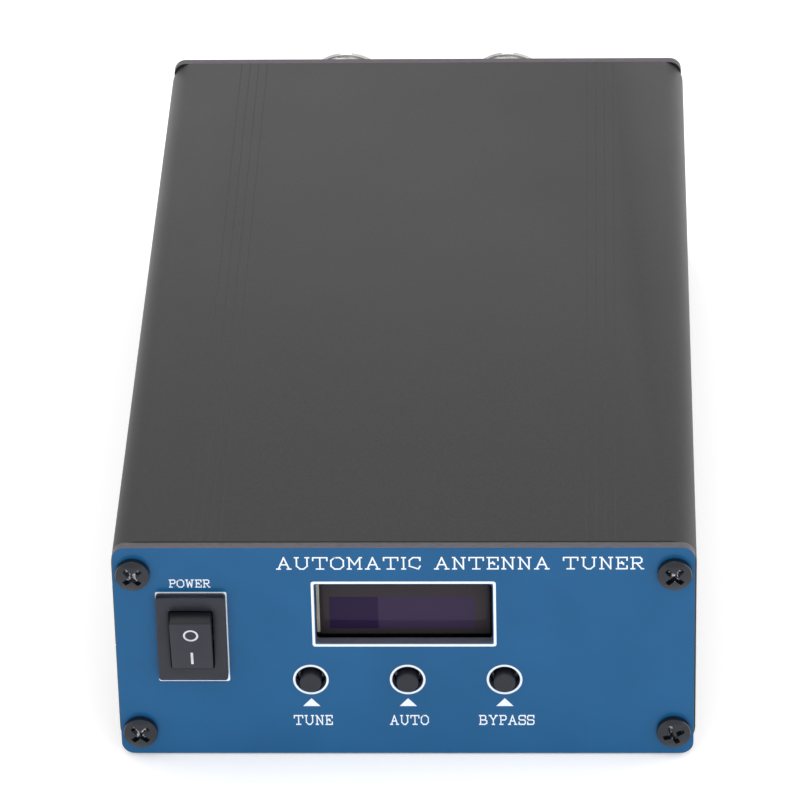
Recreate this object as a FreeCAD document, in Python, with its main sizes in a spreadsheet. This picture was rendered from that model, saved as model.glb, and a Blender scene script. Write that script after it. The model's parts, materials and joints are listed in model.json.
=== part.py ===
"""Automatic antenna tuner in a two-part extruded case, as an assembly of separate pieces.

Millimetres, +Z up, front panel towards -Y. The origin is the middle of the underside of the case.
"""
import FreeCAD, Part
import math
import os
import re

import Sketcher

Vector = FreeCAD.Vector
Rotation = FreeCAD.Rotation

DIMENSIONS = [
    # case
    ("case_width", 88, "extrusion, outside"),
    ("case_height", 38, "both halves closed"),
    ("case_length", 150, "extrusion without its end panels"),
    ("wall", 1.8, "extrusion wall"),
    ("shoulder", 4, "outside corner radius of the extrusion"),
    ("screw_spread", 40.65, "end panel screws, sideways from the middle"),
    ("screw_rise", 4.6, "end panel screws, from the nearest flat of the case"),
    ("boss_radius", 3, "screw channel, outside"),
    ("bore_radius", 1.5, "screw channel, inside"),
    ("channel_mouth", 1.2, "slot that opens each screw channel inwards"),
    ("rail_reach", 2, "board rail, from the side wall"),
    ("rail_thick", 1.2, "board rail"),
    ("board_level", 10.2, "underside of the main board"),
    ("board_slot", 1.8, "room between two rails"),
    ("tongue_width", 0.7, "seam tongue"),
    ("tongue_rise", 1, "seam tongue, above the seam"),
    ("tongue_inset", 0.6, "seam tongue, from the outside"),
    ("seam_play", 0.1, "seam groove, wider and deeper than the tongue"),
    ("flute_start", 12.1, "first fine groove, from the side of the case"),
    ("flute_pitch", 1.47, "from one fine groove to the next"),
    ("flute_width", 0.3, "fine groove, across"),
    ("flute_depth", 0.12, "fine groove"),
    # end panels
    ("panel_thick", 1.6, "end panel board"),
    ("panel_inset", 0.3, "end panel, in from each side of the case"),
    ("panel_drop", 0.2, "end panel, in from the top and the underside"),
    ("panel_corner", 2, "end panel corner radius"),
    ("panel_hole", 1.65, "screw hole in an end panel"),
    # screws and nuts, all of one thread
    ("head_radius", 2.6, "pan head"),
    ("head_rise", 1.6, "pan head"),
    ("head_dome", 6, "radius of the pan head's crown"),
    ("slot_width", 0.8, "one arm of the cross recess"),
    ("slot_length", 3.4, "cross recess, tip to tip"),
    ("slot_depth", 1, "cross recess"),
    ("shank_radius", 1.45, "screw thread, outside"),
    ("screw_length", 8, "under the head"),
    ("flange_screw_length", 9, "under the head"),
    ("nut_radius", 3.1, "corner radius of a hexagon nut"),
    ("nut_thick", 2.4, "hexagon nut"),
    ("screw_reach", 5.4, "room kept clear behind the rear panel for the flange screws"),
    # rocker switch
    ("rocker_x", -32.1, "middle of the rocker switch"),
    ("rocker_z", 22.25, "middle of the rocker switch"),
    ("bezel_width", 10.5, "rocker bezel"),
    ("bezel_height", 15, "rocker bezel"),
    ("bezel_thick", 1.5, "rocker bezel, in front of the panel"),
    ("bezel_chamfer", 0.5, "sloping edge of the bezel"),
    ("mouth_width", 6.6, "rocker opening"),
    ("mouth_height", 10.4, "rocker opening"),
    ("socket_width", 8.4, "rocker housing behind the bezel"),
    ("socket_height", 13.2, "rocker housing behind the bezel"),
    ("socket_depth", 10, "rocker housing behind the bezel"),
    ("socket_floor", 2.5, "back wall of the rocker housing"),
    ("socket_play", 0.1, "room around the housing in the panel"),
    ("pivot_proud", 0.7, "paddle pivot, in front of the panel"),
    ("pivot_radius", 0.5, "paddle pivot pin"),
    ("pivot_play", 0.05, "room around the pivot pin"),
    ("pivot_length", 7.8, "paddle pivot pin"),
    ("paddle_radius", 5.1, "paddle ends, about the pivot"),
    ("paddle_width", 6.35, "paddle"),
    ("paddle_face", 2.15, "paddle face, in front of the pivot"),
    ("paddle_back", 1.6, "paddle back, behind the pivot"),
    ("paddle_tilt", 10, "degrees either way from level"),
    ("keel_height", 3, "barrel under the paddle"),
    ("keel_width", 3, "barrel under the paddle"),
    ("keel_reach", 4.6, "barrel's end, behind the pivot"),
    ("spring_start", 1.2, "seat of the spring, behind the pivot"),
    ("spring_end", 4.4, "end of the spring, behind the pivot"),
    ("spring_radius", 0.95, "spring, outside"),
    ("spring_hollow", 0.65, "spring, inside"),
    ("barrel_radius", 1, "hole for the spring and the plunger"),
    ("plunger_end", 6.2, "tip of the plunger, behind the pivot"),
    ("lever_proud", -6.3, "contact lever, in front of the panel"),
    ("lever_length", 8.4, "contact lever"),
    ("lever_width", 2.4, "contact lever"),
    ("lever_thick", 0.4, "contact lever"),
    ("lever_tilt", 8, "degrees either way from level"),
    ("blade_width", 2.8, "switch terminal"),
    ("blade_thick", 0.5, "switch terminal"),
    ("blade_reach", 7, "switch terminal, behind the housing"),
    ("blade_offset", 4, "upper terminal, above the middle one"),
    ("stud_rise", 0.3, "contact stud above the floor"),
    ("knife_rise", 0.85, "middle terminal above the floor"),
    # control board and push buttons
    ("control_gap", 4.3, "control board, behind the front panel"),
    ("control_thick", 1.6, "control board"),
    ("control_width", 48, "control board"),
    ("control_low", 8.8, "lower edge of the control board"),
    ("control_high", 33.2, "upper edge of the control board"),
    ("button_middle", 0.3, "middle button, from the middle of the panel"),
    ("button_pitch", 14.7, "from one button to the next"),
    ("button_z", 13.92, "height of the buttons"),
    ("button_hole", 2.3, "hole for a button stem"),
    ("switch_size", 6, "push switch base, square"),
    ("switch_rise", 3.3, "push switch base"),
    ("switch_well", 2.8, "depth of the well in the base"),
    ("well_radius", 2.3, "well in the base"),
    ("cover_thick", 0.2, "push switch cover"),
    ("cover_hole", 1.75, "hole in the cover"),
    ("stem_radius", 1.65, "button stem"),
    ("stem_tip", 1.35, "flat end of the button stem"),
    ("stem_bevel", 0.3, "bevel on the end of the stem"),
    ("stem_proud", 1.15, "button stem, in front of the panel"),
    ("stem_base", 1.2, "inner end of the stem, above the control board"),
    ("collar_radius", 2.15, "collar that keeps the stem in"),
    ("collar_thick", 0.8, "collar that keeps the stem in"),
    ("collar_play", 0.1, "collar, under the cover"),
    ("dome_radius", 2.1, "snap dome"),
    ("dome_top", 0.8, "flat of the snap dome"),
    ("dome_rise", 0.35, "snap dome"),
    ("dome_thick", 0.12, "snap dome"),
    # display
    ("window_x", -0.045, "middle of the display window"),
    ("window_z", 25.9, "middle of the display window"),
    ("window_width", 26.7, "display window"),
    ("window_height", 10.7, "display window"),
    ("glass_gap", 0.9, "display glass, behind the front panel"),
    ("glass_thick", 1.45, "display glass"),
    ("glass_width", 30, "display glass"),
    ("glass_height", 11.5, "display glass"),
    ("carrier_width", 38, "display carrier board"),
    ("carrier_height", 12, "display carrier board"),
    ("carrier_thick", 1, "display carrier board"),
    ("header_x", -17.4, "display header"),
    ("header_width", 2.5, "pin header strips"),
    ("header_length", 10.16, "display header, four pins"),
    ("link_length", 25.4, "board header, ten pins"),
    # main board and what stands on it
    ("board_thick", 1.6, "main board"),
    ("board_play", 0.2, "main board, from the walls and the end panels"),
    ("relay_x", 30, "relay rows, from the middle"),
    ("relay_first", -41, "first relay of a row"),
    ("relay_pitch", 14.3, "from one relay to the next"),
    ("relay_width", 15.5, "relay, across the board"),
    ("relay_depth", 10.5, "relay, along the board"),
    ("relay_rise", 11.8, "relay"),
    ("chip_x", 17, "capacitor rows, from the middle"),
    ("chip_width", 3.2, "capacitor"),
    ("chip_depth", 5, "capacitor"),
    ("chip_rise", 2.5, "capacitor"),
    ("ring_first", -44, "first wound ring"),
    ("ring_pitch", 24, "from one wound ring to the next"),
    ("ring_radius", 10.1, "ring core, outside"),
    ("ring_hole", 6.3, "ring core, inside"),
    ("ring_rise", 6.35, "ring core"),
    ("wire_build", 0.9, "thickness of a ring's winding"),
    ("winding_gap", 5, "part of the ring left bare"),
    ("coil_first", 23, "first air coil"),
    ("coil_pitch", 12, "from one air coil to the next"),
    ("coil_radius", 4.5, "air coil, outside"),
    ("coil_hollow", 3.4, "air coil, inside"),
    ("coil_length", 14, "air coil"),
    ("sense_x", 5, "sensing rings, from the middle"),
    ("sense_y", 60, "sensing rings"),
    ("sense_radius", 4.2, "sensing ring, outside"),
    ("sense_hole", 2, "sensing ring, inside"),
    ("sense_rise", 4, "sensing ring"),
    ("processor_y", -61, "processor"),
    ("processor_size", 7, "processor, square"),
    ("processor_rise", 1.2, "processor"),
    ("regulator_x", 20, "voltage regulator"),
    ("regulator_y", -58, "voltage regulator"),
    ("regulator_width", 10, "voltage regulator"),
    ("regulator_depth", 4.5, "voltage regulator"),
    ("regulator_rise", 9.2, "voltage regulator"),
    ("can_x", 20, "first electrolytic capacitor, to the left of the middle"),
    ("can_y", -58, "electrolytic capacitors"),
    ("can_radius", 4, "electrolytic capacitor"),
    ("can_rise", 11.5, "electrolytic capacitor"),
    ("can_far", 33, "second electrolytic capacitor, to the right of the middle"),
    ("plug_y", -54.5, "power header on the board"),
    ("plug_width", 8, "power header"),
    ("plug_depth", 5, "power header"),
    ("plug_rise", 5, "power header"),
    # radio sockets at the back
    ("input_x", -15, "radio socket for the transmitter"),
    ("aerial_x", 13.5, "radio socket for the antenna"),
    ("radio_z", 20, "height of both radio sockets"),
    ("flange_size", 25.4, "radio socket flange, square"),
    ("flange_thick", 3, "radio socket flange"),
    ("flange_spread", 9.12, "flange screws, from the socket's axis"),
    ("flange_hole", 1.6, "flange screw hole"),
    ("thread_radius", 7.94, "radio socket thread, outside"),
    ("thread_end", 21, "mouth of the socket, behind the rear panel"),
    ("rim_notch", 2, "notch in the rim, across"),
    ("rim_depth", 1.2, "notch in the rim"),
    ("mouth_radius", 6.2, "inside of the socket"),
    ("mouth_floor", 8, "floor of the socket, behind the rear panel"),
    ("neck_radius", 6.4, "socket body where it passes the panel"),
    ("neck_reach", 5.6, "socket body, inside the rear panel's outer face"),
    ("neck_play", 0.2, "room around the socket body in the panel"),
    ("core_radius", 4.6, "insulator in the socket body"),
    ("disc_rise", 2, "insulator disc on the socket floor"),
    ("nose_radius", 4.2, "insulator around the contact"),
    ("nose_end", 16.5, "end of the insulator"),
    ("core_reach", 6.6, "inner end of the insulator"),
    ("contact_radius", 2.9, "centre contact"),
    ("contact_hole", 2, "bore of the centre contact"),
    ("contact_depth", 12, "bore of the centre contact"),
    ("contact_end", 17, "mouth of the centre contact"),
    ("contact_slit", 0.4, "slit across the contact"),
    ("contact_step", 4, "where the contact narrows"),
    ("cup_radius", 2.3, "solder end of the contact"),
    ("cup_reach", 11.6, "solder end of the contact"),
    # power inlet at the back
    ("inlet_x", -35.5, "power inlet"),
    ("inlet_z", 20, "power inlet"),
    ("inlet_thread", 3.95, "power inlet thread, outside"),
    ("inlet_hole", 4.05, "hole in the rear panel"),
    ("inlet_proud", 3.2, "power inlet, behind the rear panel"),
    ("inlet_flange", 5.4, "power inlet flange inside the panel"),
    ("inlet_flange_thick", 1.8, "power inlet flange inside the panel"),
    ("inlet_body", 4.6, "power inlet body"),
    ("inlet_depth", 13.5, "inner end of the power inlet body"),
    ("inlet_bore", 2.8, "socket for the plug"),
    ("inlet_floor", 8, "inner end of the plug's socket"),
    ("pin_radius", 1, "power inlet pin"),
    ("pin_proud", 2.4, "tip of the pin, behind the rear panel"),
    ("pin_reach", 15.5, "solder end of the pin"),
    ("ring_nut_radius", 5.5, "power inlet nut, outside"),
    ("ring_nut_thick", 2, "power inlet nut"),
    ("tag_drop", 3.2, "sleeve tag, below the pin"),
    ("tag_width", 2.2, "sleeve tag"),
    ("tag_thick", 0.5, "sleeve tag"),
    # leads
    ("radio_wire", 0.8, "radius of a radio lead"),
    ("power_wire", 0.7, "radius of a power lead"),
    ("lead_bend", 2.2, "inside the case"),
    ("lead_drop_y", 60.5, "where a radio lead turns down to the board"),
    ("lead_run_x", -37.4, "long power lead, along the side"),
    ("lead_run_z", 28.5, "long power lead, above the relays"),
    ("lead_rear_y", 54, "rear end of the long run"),
    ("lead_front_y", -48, "front end of the long run"),
    ("lead_entry", 3, "long power lead, run from the inlet before it turns aside"),
    ("lead_slant", 5, "long power lead, forward as it drops to the switch"),
    ("lead_stand_off", 4, "short power lead, run from the inlet's tag before it turns down"),
]

FRONT = Rotation(Vector(1, 0, 0), 90)
REAR = Rotation(Vector(1, 0, 0), -90)
TURNS = {"x": Rotation(Vector(0, 1, 0), 90), "y": REAR, "z": Rotation()}
NEAR = 0.01  # millimetres, for telling edges apart by where they lie

FLUTES_A_SIDE = 4
RELAYS_A_ROW = 7
WOUND_RINGS = 3
AIR_COILS = 3
NOTCH_BARS = 4  # bars across the rim of a radio socket, each of which cuts two notches
BUTTON_STEPS = (-1, 0, 1)  # buttons counted from the middle one
FRONT_TWISTS = (45, 42, 24, 47)  # degrees, cross recess of each corner screw
REAR_TWISTS = (30, 55, 10, 72)
FLANGE_TWIST = 17  # degrees from one flange screw's recess to the next

doc = FreeCAD.newDocument("antenna_tuner")


# ---------------------------------------------------------------- the sheet and its expressions
def make_sheet():
    """Spreadsheet with one row for each driving dimension: name, value, meaning."""
    sheet = doc.addObject("Spreadsheet::Sheet", "dims")
    for row, (alias, value, meaning) in enumerate(DIMENSIONS, start=1):
        sheet.set("A%d" % row, alias)
        sheet.set("B%d" % row, str(value))
        sheet.setAlias("B%d" % row, alias)
        sheet.set("C%d" % row, meaning)
    doc.recompute()
    return sheet


sheet = make_sheet()


def dims(text):
    """The expression with every dimension's name pointed at the sheet."""
    return re.sub(r"[a-z]+(_[a-z]+)*", lambda name: "dims." + name.group(0), str(text))


def value(alias):
    """A dimension as a plain number, for the few shapes built from Part's own functions."""
    return float(sheet.get(alias))


def bind(target, **sizes):
    """Bind properties of an object to expressions."""
    for name, text in sizes.items():
        target.setExpression(name, dims(text))
    return target


def put(target, x=0, y=0, z=0):
    """Bind an object's place; its turn stays as it is."""
    for axis, text in zip("xyz", (x, y, z)):
        target.setExpression("Placement.Base." + axis, dims(text))
    return target


def turn(target, rotation):
    target.Placement = FreeCAD.Placement(Vector(), rotation)
    return target


# ---------------------------------------------------------------- primitives and booleans
def block(x, y, z, width, depth, height):
    """Box from its lowest corner."""
    return put(bind(doc.addObject("Part::Box", "block"), Length=width, Width=depth, Height=height), x, y, z)


def middle_block(x, y, z, width, depth, height):
    """Box centred on x and y that stands on z."""
    low_x = "%s - (%s) / 2" % (x, width)
    low_y = "%s - (%s) / 2" % (y, depth)
    return block(low_x, low_y, z, width, depth, height)


def rod(along, x, y, z, radius, length):
    """Cylinder that starts at a point and runs along an axis."""
    cylinder = turn(doc.addObject("Part::Cylinder", "rod"), TURNS[along])
    return put(bind(cylinder, Radius=radius, Height=length), x, y, z)


def cone(along, x, y, z, start, end, length):
    shape = turn(doc.addObject("Part::Cone", "cone"), TURNS[along])
    return put(bind(shape, Radius1=start, Radius2=end, Height=length), x, y, z)


def fuse(*pieces):
    union = doc.addObject("Part::MultiFuse", "union")
    union.Shapes = list(pieces)
    return union


def cut(base, *tools):
    difference = doc.addObject("Part::Cut", "difference")
    difference.Base = base
    difference.Tool = tools[0] if len(tools) == 1 else fuse(*tools)
    return difference


def common(first, second):
    overlap = doc.addObject("Part::MultiCommon", "overlap")
    overlap.Shapes = [first, second]
    return overlap


def group(pieces):
    """Several separate solids kept as one sub-part."""
    bundle = doc.addObject("Part::Compound", "bundle")
    bundle.Links = pieces
    return bundle


nodes = []


def node(label, target):
    """Give a finished sub-part its name and put it on the list."""
    target.Label = label
    nodes.append(target)
    return target


# ---------------------------------------------------------------- sketched bodies
def new_body(label):
    body = doc.addObject("PartDesign::Body", label)
    return node(label, body)


def new_sketch(body, role="XZ_Plane"):
    sketch = body.newObject("Sketcher::SketchObject", "outline")
    plane = [feature for feature in body.Origin.OriginFeatures if feature.Role == role][0]
    sketch.AttachmentSupport = (plane, [""])
    sketch.MapMode = "FlatFace"
    return sketch


def hold_point(sketch, geometry, vertex, x, y):
    """Fix one point of a sketch by its distances from the origin."""
    for kind, text in (("DistanceX", x), ("DistanceY", y)):
        index = sketch.addConstraint(Sketcher.Constraint(kind, -1, 1, geometry, vertex, 1))
        sketch.setExpression("Constraints[%d]" % index, dims(text))


def draw_polygon(sketch, corners):
    first = sketch.GeometryCount
    count = len(corners)
    spots = [Vector(math.cos(math.tau * i / count), math.sin(math.tau * i / count)) for i in range(count)]
    for i in range(count):
        sketch.addGeometry(Part.LineSegment(spots[i], spots[(i + 1) % count]), False)
    for i in range(count):
        sketch.addConstraint(Sketcher.Constraint("Coincident", first + i, 2, first + (i + 1) % count, 1))
    for i, (x, y) in enumerate(corners):
        hold_point(sketch, first + i, 1, x, y)


def draw_rectangle(sketch, left, low, right, high):
    draw_polygon(sketch, [(left, low), (right, low), (right, high), (left, high)])


def draw_middle_rectangle(sketch, x, y, width, height):
    left, right = ("%s %s (%s) / 2" % (x, sign, width) for sign in "-+")
    low, high = ("%s %s (%s) / 2" % (y, sign, height) for sign in "-+")
    draw_rectangle(sketch, left, low, right, high)


def draw_circle(sketch, x, y, radius):
    index = sketch.addGeometry(Part.Circle(Vector(), Vector(0, 0, 1), 1), False)
    hold_point(sketch, index, 3, x, y)
    number = sketch.addConstraint(Sketcher.Constraint("Radius", index, 1))
    sketch.setExpression("Constraints[%d]" % number, dims(radius))


def pad(body, sketch, length, both_ways=False):
    feature = body.newObject("PartDesign::Pad", "pad")
    feature.Profile = sketch
    feature.SideType = "Symmetric" if both_ways else "One side"
    bind(feature, Length=length)
    doc.recompute()
    return feature


def pocket(body, sketch):
    """Cut a sketch right through its body, both ways from the sketch's plane."""
    before = body.Shape.Volume
    feature = body.newObject("PartDesign::Pocket", "pocket")
    feature.Profile = sketch
    feature.SideType = "Symmetric"
    feature.Type = "ThroughAll"
    doc.recompute()
    if body.Shape.Volume >= before:
        raise RuntimeError("%s: a pocket cut nothing" % body.Label)
    return feature


def dress(body, kind, base, size_name, size, wanted):
    """Fillet or chamfer the edges of a feature whose middle passes a test."""
    edges = ["Edge%d" % (i + 1) for i, edge in enumerate(base.Shape.Edges) if wanted(edge.CenterOfMass)]
    feature = body.newObject("PartDesign::" + kind, kind.lower())
    feature.Base = (base, edges)
    bind(feature, **{size_name: size})
    doc.recompute()
    return feature


# ---------------------------------------------------------------- case
def make_shell(label):
    """Half of the case: a trough with screw channels, board rails, a seam and fine grooves."""
    body = new_body(label)
    outline = new_sketch(body)
    draw_rectangle(outline, "-case_width / 2", 0, "case_width / 2", "case_height / 2")
    bar = pad(body, outline, "case_length", both_ways=True)
    side = value("case_width") / 2
    dress(body, "Fillet", bar, "Radius", "shoulder",
          lambda spot: abs(spot.z) < NEAR and abs(spot.x) > side - NEAR and abs(spot.y) < NEAR)

    trough = new_sketch(body)
    inner = "(case_width / 2 - wall)"
    draw_rectangle(trough, "-" + inner, "wall", inner, "case_height")
    pocket(body, trough)

    channels = new_sketch(body)
    draw_circle(channels, "-screw_spread", "screw_rise", "boss_radius")
    draw_circle(channels, "screw_spread", "screw_rise", "boss_radius")
    pad(body, channels, "case_length", both_ways=True)

    rails = new_sketch(body)
    bite = "(case_width / 2 - wall / 2)"
    tip = "(case_width / 2 - wall - rail_reach)"
    for low in ("board_level - rail_thick", "board_level + board_slot"):
        draw_rectangle(rails, tip, low, bite, low + " + rail_thick")
        draw_rectangle(rails, "-" + bite, low, "-" + tip, low + " + rail_thick")
    pad(body, rails, "case_length", both_ways=True)

    tongue = new_sketch(body)
    inside = "(case_width / 2 - tongue_inset - tongue_width)"
    outside = "(case_width / 2 - tongue_inset)"
    draw_rectangle(tongue, inside, "case_height / 2 - tongue_rise", outside, "case_height / 2 + tongue_rise")
    pad(body, tongue, "case_length", both_ways=True)

    groove = new_sketch(body)
    floor = "case_height / 2 - tongue_rise - seam_play"
    draw_rectangle(groove, "-%s - seam_play" % outside, floor, "-%s + seam_play" % inside, "case_height")
    pocket(body, groove)

    bores = new_sketch(body)
    draw_circle(bores, "-screw_spread", "screw_rise", "bore_radius")
    draw_circle(bores, "screw_spread", "screw_rise", "bore_radius")
    pocket(body, bores)

    mouths = new_sketch(body)
    low, high = "screw_rise - channel_mouth / 2", "screw_rise + channel_mouth / 2"
    reach = "(screw_spread - boss_radius - bore_radius)"
    draw_rectangle(mouths, "-screw_spread", low, "-" + reach, high)
    draw_rectangle(mouths, reach, low, "screw_spread", high)
    pocket(body, mouths)

    flutes = new_sketch(body)
    for sign in ("", "-"):
        for number in range(FLUTES_A_SIDE):
            x = "%s(case_width / 2 - flute_start - %d * flute_pitch)" % (sign, number)
            left, right = x + " - flute_width", x + " + flute_width"
            draw_polygon(flutes, [(left, "-flute_depth"), (right, "-flute_depth"), (x, "flute_depth")])
    pocket(body, flutes)
    return body


lower_shell = make_shell("lower_shell")
upper_shell = put(turn(make_shell("upper_shell"), Rotation(Vector(0, 1, 0), 180)), 0, 0, "case_height")


# ---------------------------------------------------------------- end panels
def make_panel(label, y):
    """Blank end panel with its corner screw holes, and the sketch for its other openings."""
    body = put(new_body(label), 0, y, 0)
    outline = new_sketch(body)
    half = "(case_width / 2 - panel_inset)"
    draw_rectangle(outline, "-" + half, "panel_drop", half, "case_height - panel_drop")
    plate = pad(body, outline, "panel_thick")
    middle_y = plate.Shape.BoundBox.Center.y  # only the corner edges have their middles here
    dress(body, "Fillet", plate, "Radius", "panel_corner", lambda spot: abs(spot.y - middle_y) < NEAR)
    openings = new_sketch(body)
    for side in ("-", ""):
        for z in ("screw_rise", "case_height - screw_rise"):
            draw_circle(openings, side + "screw_spread", z, "panel_hole")
    return body, openings


def button_x(step):
    return "button_middle + %d * button_pitch" % step


def flange_places():
    """Where the flange screws of both radio sockets go, as x and z."""
    for socket_x in ("input_x", "aerial_x"):
        for across in "-+":
            for up in "-+":
                yield "%s %s flange_spread" % (socket_x, across), "radio_z %s flange_spread" % up


front_panel, openings = make_panel("front_panel", "-case_length / 2")
draw_middle_rectangle(openings, "rocker_x", "rocker_z", "socket_width + 2 * socket_play",
                      "socket_height + 2 * socket_play")
draw_middle_rectangle(openings, "window_x", "window_z", "window_width", "window_height")
for step in BUTTON_STEPS:
    draw_circle(openings, button_x(step), "button_z", "button_hole")
pocket(front_panel, openings)

rear_panel, openings = make_panel("rear_panel", "case_length / 2 + panel_thick")
for socket_x in ("input_x", "aerial_x"):
    draw_circle(openings, socket_x, "radio_z", "neck_radius + neck_play")
for x, z in flange_places():
    draw_circle(openings, x, z, "flange_hole")
draw_circle(openings, "inlet_x", "inlet_z", "inlet_hole")
pocket(rear_panel, openings)


# ---------------------------------------------------------------- screws and nuts
def make_screw(facing, x, y, z, length, twist):
    """Pan-head cross screw whose head sits on the plane y and faces one way."""
    crown = doc.addObject("Part::Sphere", "crown")
    put(bind(crown, Radius="head_dome"), 0, 0, "head_rise - head_dome")
    head = common(rod("z", 0, 0, 0, "head_radius", "head_rise"), crown)
    arm = middle_block(0, 0, "head_rise - slot_depth", "slot_length", "slot_width", "head_rise")
    other_arm = middle_block(0, 0, "head_rise - slot_depth", "slot_width", "slot_length", "head_rise")
    shank = rod("z", 0, 0, "-(%s)" % length, "shank_radius", length)
    screw = cut(fuse(head, shank), arm, other_arm)
    turn(screw, facing.multiply(Rotation(Vector(0, 0, 1), twist)))
    return put(screw, x, y, z)


def make_corner_screws(facing, y, twists):
    """Four end panel screws; each cross recess stands at its own angle."""
    places = [(x, z) for x in ("-screw_spread", "screw_spread")
              for z in ("screw_rise", "case_height - screw_rise")]
    screws = [make_screw(facing, x, y, z, "screw_length", twist) for (x, z), twist in zip(places, twists)]
    return group(screws)


front_face = "-case_length / 2 - panel_thick"
rear_face = "case_length / 2 + panel_thick"
node("front_screws", make_corner_screws(FRONT, front_face, FRONT_TWISTS))
node("rear_screws", make_corner_screws(REAR, rear_face, REAR_TWISTS))


def make_nut(x, y, z):
    prism = doc.addObject("Part::Prism", "hexagon")
    prism.Polygon = 6
    bind(prism, Circumradius="nut_radius", Height="nut_thick")
    return put(turn(cut(prism, rod("z", 0, 0, "-nut_thick", "flange_hole", "3 * nut_thick")), REAR), x, y, z)


flange_face = rear_face + " + flange_thick"
node("flange_screws", group([
    make_screw(REAR, x, flange_face, z, "flange_screw_length", FLANGE_TWIST * number)
    for number, (x, z) in enumerate(flange_places())]))
node("flange_nuts", group([make_nut(x, "case_length / 2 - nut_thick", z) for x, z in flange_places()]))

# ---------------------------------------------------------------- rocker switch
# Local frame of the switch: y = 0 is the outer face of the front panel, z = 0 its middle.
floor_y = "(socket_depth - socket_floor)"


def place_in_switch(target):
    return put(target, "rocker_x", front_face, "rocker_z")


def make_blade(low_z, rise):
    """Switch terminal: a strip through the floor of the housing."""
    length = "%s + socket_floor + blade_reach" % rise
    return block("-blade_width / 2", "%s - %s" % (floor_y, rise), low_z, "blade_width", length, "blade_thick")


def make_terminals():
    return group([make_blade("-blade_thick / 2", "knife_rise"),
                  make_blade("blade_offset - blade_thick / 2", "stud_rise")])


bezel = doc.addObject("PartDesign::Body", "bezel")
bezel_outline = new_sketch(bezel)
draw_middle_rectangle(bezel_outline, 0, 0, "bezel_width", "bezel_height")
bezel_pad = pad(bezel, bezel_outline, "bezel_thick")
dress(bezel, "Chamfer", bezel_pad, "Size", "bezel_chamfer",
      lambda spot: abs(spot.y + value("bezel_thick")) < NEAR)
socket = block("-socket_width / 2", 0, "-socket_height / 2", "socket_width", "socket_depth", "socket_height")
cavity = block("-mouth_width / 2", "-bezel_thick * 2", "-mouth_height / 2", "mouth_width",
               "bezel_thick * 2 + " + floor_y, "mouth_height")
pivot_hole = rod("x", "-pivot_length / 2 - pivot_play", "-pivot_proud", 0, "pivot_radius + pivot_play",
                 "pivot_length + 2 * pivot_play")
housing = cut(fuse(bezel, socket), cavity, pivot_hole, make_terminals())
node("rocker_housing", place_in_switch(housing))
node("rocker_terminals", place_in_switch(make_terminals()))


def place_on_pivot(target):
    """Paddle pieces are drawn level about the pivot, then tilted with the upper end out."""
    turn(target, Rotation(Vector(1, 0, 0), value("paddle_tilt")))
    return put(target, "rocker_x", front_face + " - pivot_proud", "rocker_z")


paddle_drum = rod("x", "-paddle_width / 2", 0, 0, "paddle_radius", "paddle_width")
paddle_slab = block("-paddle_width / 2", "-paddle_face", "-paddle_radius", "paddle_width",
                    "paddle_face + paddle_back", "2 * paddle_radius")
keel = block("-keel_width / 2", "paddle_back / 2", "-keel_height / 2", "keel_width",
             "keel_reach - paddle_back / 2", "keel_height")
pivot_pin = rod("x", "-pivot_length / 2", 0, 0, "pivot_radius", "pivot_length")
barrel = rod("y", 0, "spring_start", 0, "barrel_radius", "keel_reach")
node("rocker_paddle", place_on_pivot(cut(fuse(common(paddle_drum, paddle_slab), keel, pivot_pin), barrel)))

spring_tube = rod("y", 0, "spring_start", 0, "spring_radius", "spring_end - spring_start")
spring_core = rod("y", 0, 0, 0, "spring_hollow", "2 * spring_end")
node("rocker_spring", place_on_pivot(cut(spring_tube, spring_core)))
plunger_rod = rod("y", 0, "spring_end", 0, "spring_radius", "plunger_end - spring_end - spring_radius / 2")
plunger_tip = cone("y", 0, "plunger_end - spring_radius / 2", 0, "spring_radius", "spring_radius / 2",
                   "spring_radius / 2")
node("rocker_plunger", place_on_pivot(fuse(plunger_rod, plunger_tip)))

lever = block("-lever_width / 2", "-lever_thick / 2", "-lever_length / 2", "lever_width", "lever_thick",
              "lever_length")
tilted_lever = turn(group([lever]), Rotation(Vector(1, 0, 0), -value("lever_tilt")))
node("rocker_contact_lever", put(tilted_lever, "rocker_x", front_face + " - lever_proud", "rocker_z"))

# ---------------------------------------------------------------- control board and push buttons
panel_back = "-case_length / 2"
control_face = "(control_gap - case_length / 2)"
control_back = "(control_gap + control_thick - case_length / 2)"
control_board = new_body("control_board")
outline = new_sketch(control_board)
draw_rectangle(outline, "-control_width / 2", "control_low", "control_width / 2", "control_high")
pad(control_board, outline, "control_thick")
put(control_board, 0, control_back, 0)


def make_switch_base(step):
    x = button_x(step)
    base = block(x + " - switch_size / 2", control_face + " - switch_rise", "button_z - switch_size / 2",
                 "switch_size", "switch_rise", "switch_size")
    well = rod("y", x, control_face + " - 2 * switch_rise + switch_well", "button_z", "well_radius",
               "switch_rise")
    return cut(base, well)


def make_switch_cover(step):
    x = button_x(step)
    front = control_face + " - switch_rise - cover_thick"
    plate = block(x + " - switch_size / 2", front, "button_z - switch_size / 2", "switch_size",
                  "cover_thick", "switch_size")
    return cut(plate, rod("y", x, front + " - cover_thick", "button_z", "cover_hole", "3 * cover_thick"))


def make_snap_dome(step):
    """Thin sprung dish at the bottom of the well."""
    x = button_x(step)
    crest = control_face + " - switch_rise + switch_well - dome_rise"
    outer = cone("y", x, crest, "button_z", "dome_top", "dome_radius", "dome_rise")
    inner = cone("y", x, crest + " + dome_thick", "button_z", "dome_top", "dome_radius", "dome_rise")
    return cut(outer, inner)


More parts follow.
